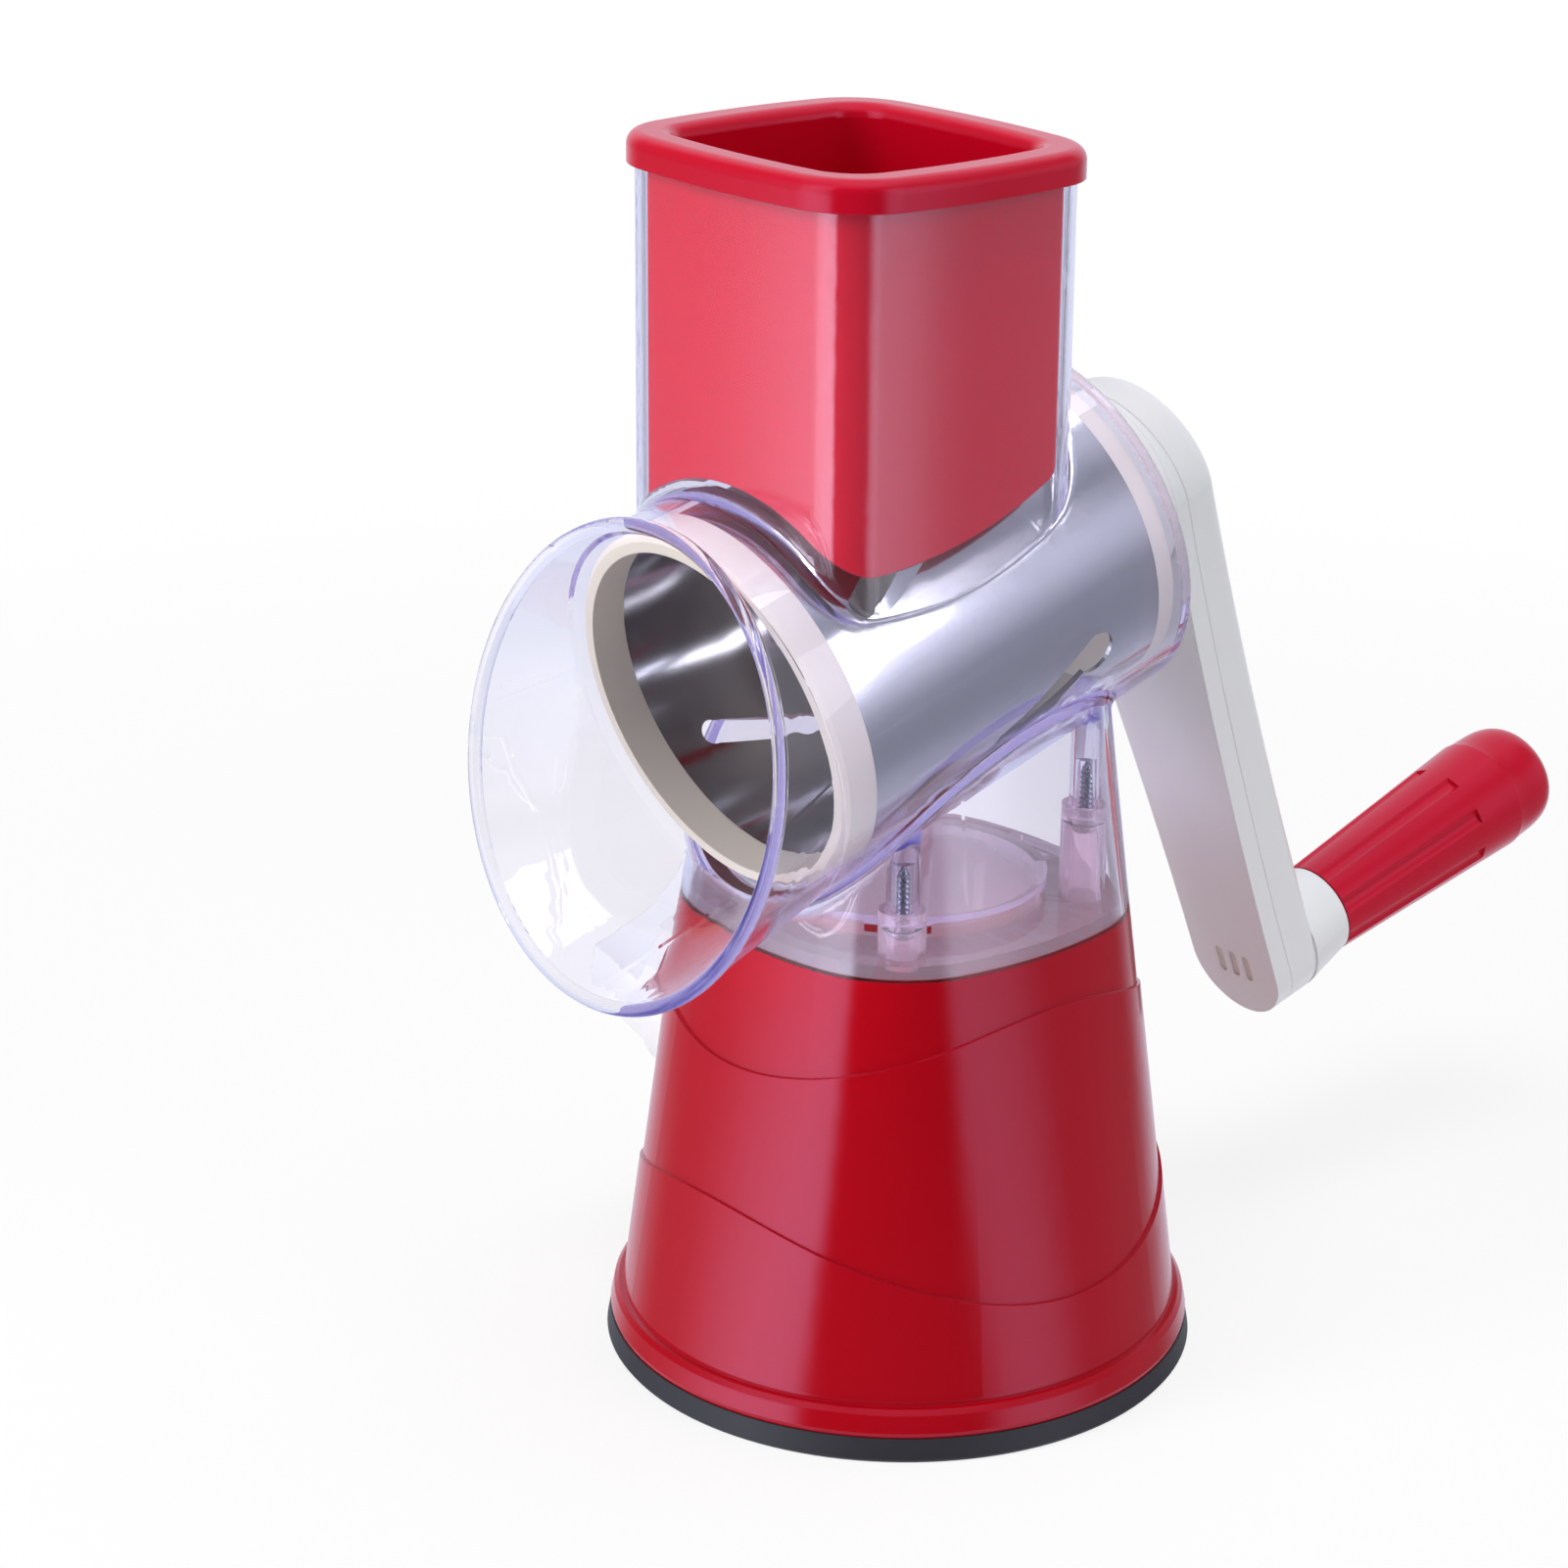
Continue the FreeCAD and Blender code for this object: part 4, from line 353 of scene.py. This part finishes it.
def background_seen(tree):
    """One for a ray from the camera or straight through clear plastic, else zero."""
    path = add(tree, "ShaderNodeLightPath")
    seen = add(tree, "ShaderNodeMath", {"operation": "MAXIMUM"}, {0: path.outputs["Is Camera Ray"],
                                                                  1: path.outputs["Is Transmission Ray"]})
    return add(tree, "ShaderNodeMath", {"operation": "SUBTRACT", "use_clamp": True},
               {0: seen.outputs[0], 1: mirrored(tree).outputs[0]})


def make_floor():
    """A white floor that fades away into the white world behind it."""
    reach, fade_from, fade_to = 1.6, 0.28, 0.75
    paper_share = 0.82
    mesh = bpy.data.meshes.new("floor")
    mesh.from_pydata([(-reach, -reach, 0), (reach, -reach, 0), (reach, reach, 0), (-reach, reach, 0)], [],
                     [(0, 1, 2, 3)])
    floor = bpy.data.objects.new("floor", mesh)
    scene.collection.objects.link(floor)
    material, tree = new_material("white_floor")
    place = add(tree, "ShaderNodeTexCoord").outputs["Object"]
    distance = add(tree, "ShaderNodeVectorMath", {"operation": "LENGTH"}, {"Vector": place})
    fade = add(tree, "ShaderNodeMapRange",
               {"From Min": fade_from, "From Max": fade_to, "interpolation_type": "SMOOTHSTEP"},
               {"Value": distance.outputs["Value"]})
    lift = add(tree, "ShaderNodeMapRange", {"To Min": 0.0, "To Max": paper_share},
               {"Value": background_seen(tree).outputs[0]})
    white = add(tree, "ShaderNodeBsdfDiffuse", {"Color": linear("#FDFDFD")})
    paper = add(tree, "ShaderNodeEmission", {"Color": linear("#FFFFFF"), "Strength": 1.0})
    lit = add(tree, "ShaderNodeMixShader", links={"Fac": lift.outputs[0], 1: white.outputs[0],
                                                  2: paper.outputs[0]})
    clear = add(tree, "ShaderNodeBsdfTransparent")
    unseen = add(tree, "ShaderNodeMath", {"operation": "MAXIMUM"}, {0: fade.outputs[0],
                                                                    1: mirrored(tree).outputs[0]})
    mix = add(tree, "ShaderNodeMixShader", links={"Fac": unseen.outputs[0], 1: lit.outputs[0],
                                                  2: clear.outputs[0]})
    add(tree, "ShaderNodeOutputMaterial", links={"Surface": mix.outputs[0]})
    material.cycles.emission_sampling = "NONE"
    mesh.materials.append(material)
    floor.visible_glossy = False


def make_world():
    """White where it is seen as the background, and a weak even light elsewhere."""
    fill_light, white = 0.26, 1.0
    world = bpy.data.worlds.new("world")
    scene.world = world
    world.use_nodes = True
    tree = world.node_tree
    tree.nodes.clear()
    strength = add(tree, "ShaderNodeMapRange", {"To Min": fill_light, "To Max": white},
                   {"Value": background_seen(tree).outputs[0]})
    light = add(tree, "ShaderNodeBackground", {"Color": linear("#FFFFFF")},
                {"Strength": strength.outputs[0]})
    add(tree, "ShaderNodeOutputWorld", links={"Surface": light.outputs[0]})


def softbox(name, place, aim_height, width, height, watts):
    """A soft lamp aimed at the object. Glossy surfaces mirror the wrap in its stead."""
    data = bpy.data.lights.new(name, "AREA")
    data.shape = "RECTANGLE"
    data.size = width
    data.size_y = height
    data.energy = watts
    lamp = bpy.data.objects.new(name, data)
    lamp.location = place
    lamp.rotation_euler = (Vector((0, 0, aim_height)) - Vector(place)).to_track_quat("-Z", "Y").to_euler()
    lamp.visible_glossy = False
    scene.collection.objects.link(lamp)


def place_lamps():
    """A strong lamp on the camera's left, a weak one on its right and a broad one above."""
    softbox("side_left", (-0.35, -1.25, 0.55), aim_height=0.14, width=0.5, height=1.1, watts=12.5)
    softbox("side_right", (1.25, 0.45, 0.55), aim_height=0.14, width=0.5, height=1.1, watts=3.5)
    softbox("top", (0.1, 0.1, 1.4), aim_height=0.1, width=0.8, height=0.8, watts=9)


# The wrap holds what glossy surfaces mirror. Its lights are set by degrees right of the camera, named turn,
# and above level, named rise. Four angles give where a light starts, is full, begins to fade and ends.
LEFT_BOX_TURN = (-150, -60, -41, -33)
LEFT_BOX_RISE = (-75, -45, 45, 62)
RIGHT_BOX_TURN = (30, 46, 52, 84)
RIGHT_BOX_RISE = (-75, -45, 30, 48)
RIGHT_FILL_TURN = (50, 70, 105, 135)
RIGHT_FILL_RISE = (-12, 12, 16, 32)
# Two angles give where a wider light starts and where it is full
LEFT_BOX_NEAR_END = (-105, -50)
LEFT_BOX_FOOT = (2, -14)
BACK_WALL = (112, 150)
CEILING = (38, 64)
TABLE = (-27, -50)


def ease(value, start, full):
    """A soft rise from 0 at one angle to 1 at the other."""
    share = min(1.0, max(0.0, (value - start) / (full - start)))
    return share * share * (3 - 2 * share)


def within(value, start, full, fading, end):
    """1 between the middle two angles, with a soft fall to 0 on both sides."""
    return ease(value, start, full) * ease(value, end, fading)


def glow(turn, rise):
    """The wrap's brightness: a long softbox on the left, a narrow one on the right and dark between them."""
    dark, back_wall, ceiling, table = 0.05, 1.0, 0.95, 0.8
    left_far_end, left_near_gain, left_foot_gain = 0.4, 1.4, 0.9
    right_box, right_fill, right_fill_gain = 1.6, 0.3, 0.35
    level = dark + (back_wall - dark) * ease(abs(turn), *BACK_WALL)
    left = left_far_end + left_near_gain * ease(turn, *LEFT_BOX_NEAR_END)
    left *= 1 + left_foot_gain * ease(rise, *LEFT_BOX_FOOT)
    level += left * within(turn, *LEFT_BOX_TURN) * within(rise, *LEFT_BOX_RISE)
    level += right_box * within(turn, *RIGHT_BOX_TURN) * within(rise, *RIGHT_BOX_RISE)
    fill = right_fill + right_fill_gain * within(rise, *RIGHT_FILL_RISE)
    level += fill * within(turn, *RIGHT_FILL_TURN)
    level += (ceiling - level) * ease(rise, *CEILING)
    level += (table - level) * ease(rise, *TABLE)
    return level


def make_wrap():
    """A globe of softbox cloth that only glossy and clear surfaces see. Rays through clear plastic find it
    nearly white all round, so that the clear walls stay light."""
    radius, middle = 1.8, 0.15
    columns, rows = 180, 45
    lowest_through_clear = 0.75
    inside_after = 1.5
    points, levels = [], []
    for row in range(rows + 1):
        rise = -90 + 180 * row / rows
        flat = radius * math.cos(math.radians(rise))
        height = radius * math.sin(math.radians(rise)) + middle
        for column in range(columns):
            turn = -180 + 360 * column / columns
            angle = math.radians(turn) + CAMERA_AZIMUTH
            points.append((flat * math.sin(angle), -flat * math.cos(angle), height))
            levels.append(glow(turn, rise))
    mesh = bpy.data.meshes.new("studio_wrap")
    mesh.from_pydata(points, [], ring_faces(0, rows + 1, columns))
    mesh.attributes.new("glow", "FLOAT", "POINT").data.foreach_set("value", levels)
    wrap = bpy.data.objects.new("studio_wrap", mesh)
    scene.collection.objects.link(wrap)
    material, tree = new_material("softbox_cloth")
    level = add(tree, "ShaderNodeAttribute", {"attribute_name": "glow"})
    path = add(tree, "ShaderNodeLightPath")
    inside = add(tree, "ShaderNodeMath", {"operation": "GREATER_THAN", 1: inside_after},
                 {0: path.outputs["Glossy Depth"]})
    through = add(tree, "ShaderNodeMath", {"operation": "MAXIMUM"},
                  {0: background_seen(tree).outputs[0], 1: inside.outputs[0]})
    lowest = add(tree, "ShaderNodeMapRange", {"To Min": 0.0, "To Max": lowest_through_clear},
                 {"Value": through.outputs[0]})
    strength = add(tree, "ShaderNodeMapRange", {"To Max": 1.0, "clamp": False},
                   {"Value": level.outputs["Fac"], "To Min": lowest.outputs[0]})
    cloth = add(tree, "ShaderNodeEmission", {"Color": linear("#E8ECFC")}, {"Strength": strength.outputs[0]})
    add(tree, "ShaderNodeOutputMaterial", links={"Surface": cloth.outputs[0]})
    material.cycles.emission_sampling = "NONE"
    mesh.materials.append(material)
    wrap.visible_camera = False
    wrap.visible_diffuse = False
    wrap.visible_shadow = False
    wrap.visible_volume_scatter = False


# Screws in the clear posts

def screw_rings(around):
    """Rings from under a pan head up to the tip of the thread, each as its radii and its height, in
    millimetres."""
    head_radius, head_height, head_rounding, head_face = 2.7, 1.8, 0.5, 0.8
    length, tip_length, tip_radius = 14.5, 2.4, 0.02
    pitch, core, crest, ridge_slope = 1.15, 1.22, 1.5, 3.2
    rings_per_turn = 8
    foot = 0.1
    profile = [(tip_radius, foot), (head_radius * head_face, foot), (head_radius, foot + head_rounding),
               (head_radius, head_height), (core, head_height)]
    rings = [([radius] * around, height) for radius, height in profile]
    stations = int(length / pitch * rings_per_turn)
    for station in range(1, stations + 1):
        rise = length * station / stations
        taper = min(1.0, (length - rise) / tip_length)
        radii = []
        for step in range(around):
            phase = (rise / pitch - step / around) % 1.0
            ridge = max(0.0, 1 - abs(phase - 0.5) * ridge_slope)
            radii.append(max(tip_radius, (core + (crest - core) * ridge) * taper))
        rings.append((radii, head_height + rise))
    return rings


def threaded_screws():
    """Pan-head screws whose threads show through the clear posts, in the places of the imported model's smooth
    ones."""
    around = 20
    rings = screw_rings(around)
    # One screw stands in each quarter of the clear body
    columns = {}
    for vertex in frame["nodes"]["housing_screws"].data.vertices:
        columns.setdefault((vertex.co.x > 0, vertex.co.y > 0), []).append(vertex.co)
    points, faces = [], []
    for column in columns.values():
        along_x, along_y, heights = zip(*column)
        x = (min(along_x) + max(along_x)) / 2 / MM
        y = (min(along_y) + max(along_y)) / 2 / MM
        foot = min(heights) / MM
        start = len(points)
        for radii, height in rings:
            for step, radius in enumerate(radii):
                angle = 2 * math.pi * step / around
                points.append(Vector((x + radius * math.cos(angle), y + radius * math.sin(angle),
                                      foot + height)) * MM)
        faces += ring_faces(start, len(rings), around)
        faces.append(tuple(range(start, start + around))[::-1])
        faces.append(tuple(range(len(points) - around, len(points))))
    piece = new_piece("threaded_screws", points, faces, zinc_steel, "clear_body")
    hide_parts("housing_screws")


# Marks beside the lock knob, as strips with a centreline and a half width at each of its points, in
# millimetres across and up from the knob's axis

def on_circle(x, y, radius, degrees):
    """A point on a circle about x and y, by degrees up from the right."""
    angle = math.radians(degrees)
    return x + radius * math.cos(angle), y + radius * math.sin(angle)


def arc_points(x, y, radius, first, last, steps):
    """Points along an arc of such a circle."""
    return [on_circle(x, y, radius, first + (last - first) * step / steps) for step in range(steps + 1)]


def arrowhead(tip, back):
    """A wedge from its broad back to a point."""
    back_half, tip_half = 1.5, 0.05
    return [back, tip], [back_half, tip_half]


def padlock(x, y, lift):
    """A body, with the middle of its foot at x and y, and a shackle. Lifted, the shackle stands open on one
    leg."""
    body_half, body_height, corner = 1.9, 2.6, 0.3
    shackle_radius, shackle_base, shackle_half, open_leg = 1.2, 3.1, 0.35, 0.5
    shackle_steps = 10
    shoulder = y + body_height - corner
    body = [(x, y), (x, y + corner), (x, shoulder), (x, y + body_height)]
    halves = [body_half - corner, body_half, body_half, body_half - corner]
    middle = y + shackle_base + lift
    shackle = [(x - shackle_radius, shoulder)]
    shackle += arc_points(x, middle, shackle_radius, 180, 0, shackle_steps)
    shackle.append((x + shackle_radius, middle - open_leg))
    if not lift:
        shackle.append((x + shackle_radius, shoulder))
    return [(body, halves), (shackle, [shackle_half] * len(shackle))]


def mark_strips():
    """An arc with an arrowhead at each end, a closed padlock above and an open one at the side."""
    radius, first, last, steps = 29.5, 103, 176, 24
    line_half, tip_lead = 0.4, 3
    closed_radius, open_radius, padlock_lead = 34.5, 35.5, 1
    padlock_drop, padlock_lift = 2.5, 1.2
    arc = arc_points(0, 0, radius, first, last, steps)
    line = arc[1:-1]
    closed_x, closed_y = on_circle(0, 0, closed_radius, first - padlock_lead)
    open_x, open_y = on_circle(0, 0, open_radius, last + padlock_lead)
    return [
        (line, [line_half] * len(line)),
        arrowhead(on_circle(0, 0, radius, first - tip_lead), arc[2]),
        arrowhead(on_circle(0, 0, radius, last + tip_lead), arc[-3]),
        *padlock(closed_x, closed_y - padlock_drop, 0.0),
        *padlock(open_x, open_y - padlock_drop, padlock_lift),
    ]


def knob_marks():
    """The marks as thin ink on the base's wall, each point laid there by a ray along the knob's axis."""
    proud, sunk, ray_start = 0.05 * MM, 0.05 * MM, 80 * MM
    joint = joint_named("knob_turn")
    outward = -Vector(joint["axis"]).normalized()
    centre = Vector(joint["pos_m"])
    across = Vector((0, -1, 0))
    upward = outward.cross(across)
    wall = wall_of("base_shell")
    points, faces = [], []
    for centreline, halves in mark_strips():
        start = len(points)
        last = len(centreline) - 1
        for index, half in enumerate(halves):
            middle = Vector(centreline[index])
            before = Vector(centreline[max(index - 1, 0)])
            after = Vector(centreline[min(index + 1, last)])
            along = (after - before).normalized()
            side = Vector((-along.y, along.x)) * half
            for corner in (middle + side, middle - side):
                origin = centre + outward * ray_start + (across * corner.x + upward * corner.y) * MM
                place, normal, _, _ = wall.ray_cast(origin, -outward)
                points += [place + normal * proud, place - normal * sunk]
        # Each point of the centreline has an outer and an inner point of ink on either side
        for index in range(last):
            near = start + 4 * index
            far = near + 4
            faces += [(near, near + 2, far + 2, far), (near + 1, far + 1, far + 3, near + 3),
                      (near, far, far + 1, near + 1), (near + 2, near + 3, far + 3, far + 2)]
        end = start + 4 * last
        faces += [(start, start + 1, start + 3, start + 2), (end, end + 2, end + 3, end + 1)]
    new_piece("knob_marks", points, faces, black_ink, "base", smooth=False)


# Pale floor of the crank arm's slots, painted light over their shaded depth

def painted_light_vent_floor():
    """A pale floor under the three short slots near the arm's end, a little below the arm's inner face:
    painted light that hides the shade deep in the slots.
    """
    half_width, half_length = 6.4 * MM, 4.2 * MM
    depth, thickness = 0.35 * MM, 0.4 * MM
    above_grip = 0.5 * MM
    joint = joint_named("crank_turn")
    axis = Vector(joint["axis"]).normalized()
    centre = Vector(joint["pos_m"])
    side = Vector((1, 0, 0))
    down = axis.cross(side)
    reach = (Vector(joint_named("grip_spin")["pos_m"]) - centre).dot(down) - above_grip
    wall = wall_of("crank_arm")
    points = []
    for level in (depth, depth + thickness):
        for x, y in ((-1, -1), (1, -1), (1, 1), (-1, 1)):
            origin = centre + side * x * half_width + down * (reach + y * half_length)
            place, _, _, _ = wall.ray_cast(origin, axis)
            points.append(place + axis * level)
    faces = [(0, 1, 2, 3), (7, 6, 5, 4), (0, 4, 5, 1), (1, 5, 6, 2), (2, 6, 7, 3), (3, 7, 4, 0)]
    new_piece("painted_light_vent_floor", points, faces, cream_polypropylene, "crank", smooth=False)


place_camera()
make_floor()
make_world()
place_lamps()
make_wrap()
dress_nodes()
threaded_screws()
knob_marks()
painted_light_vent_floor()
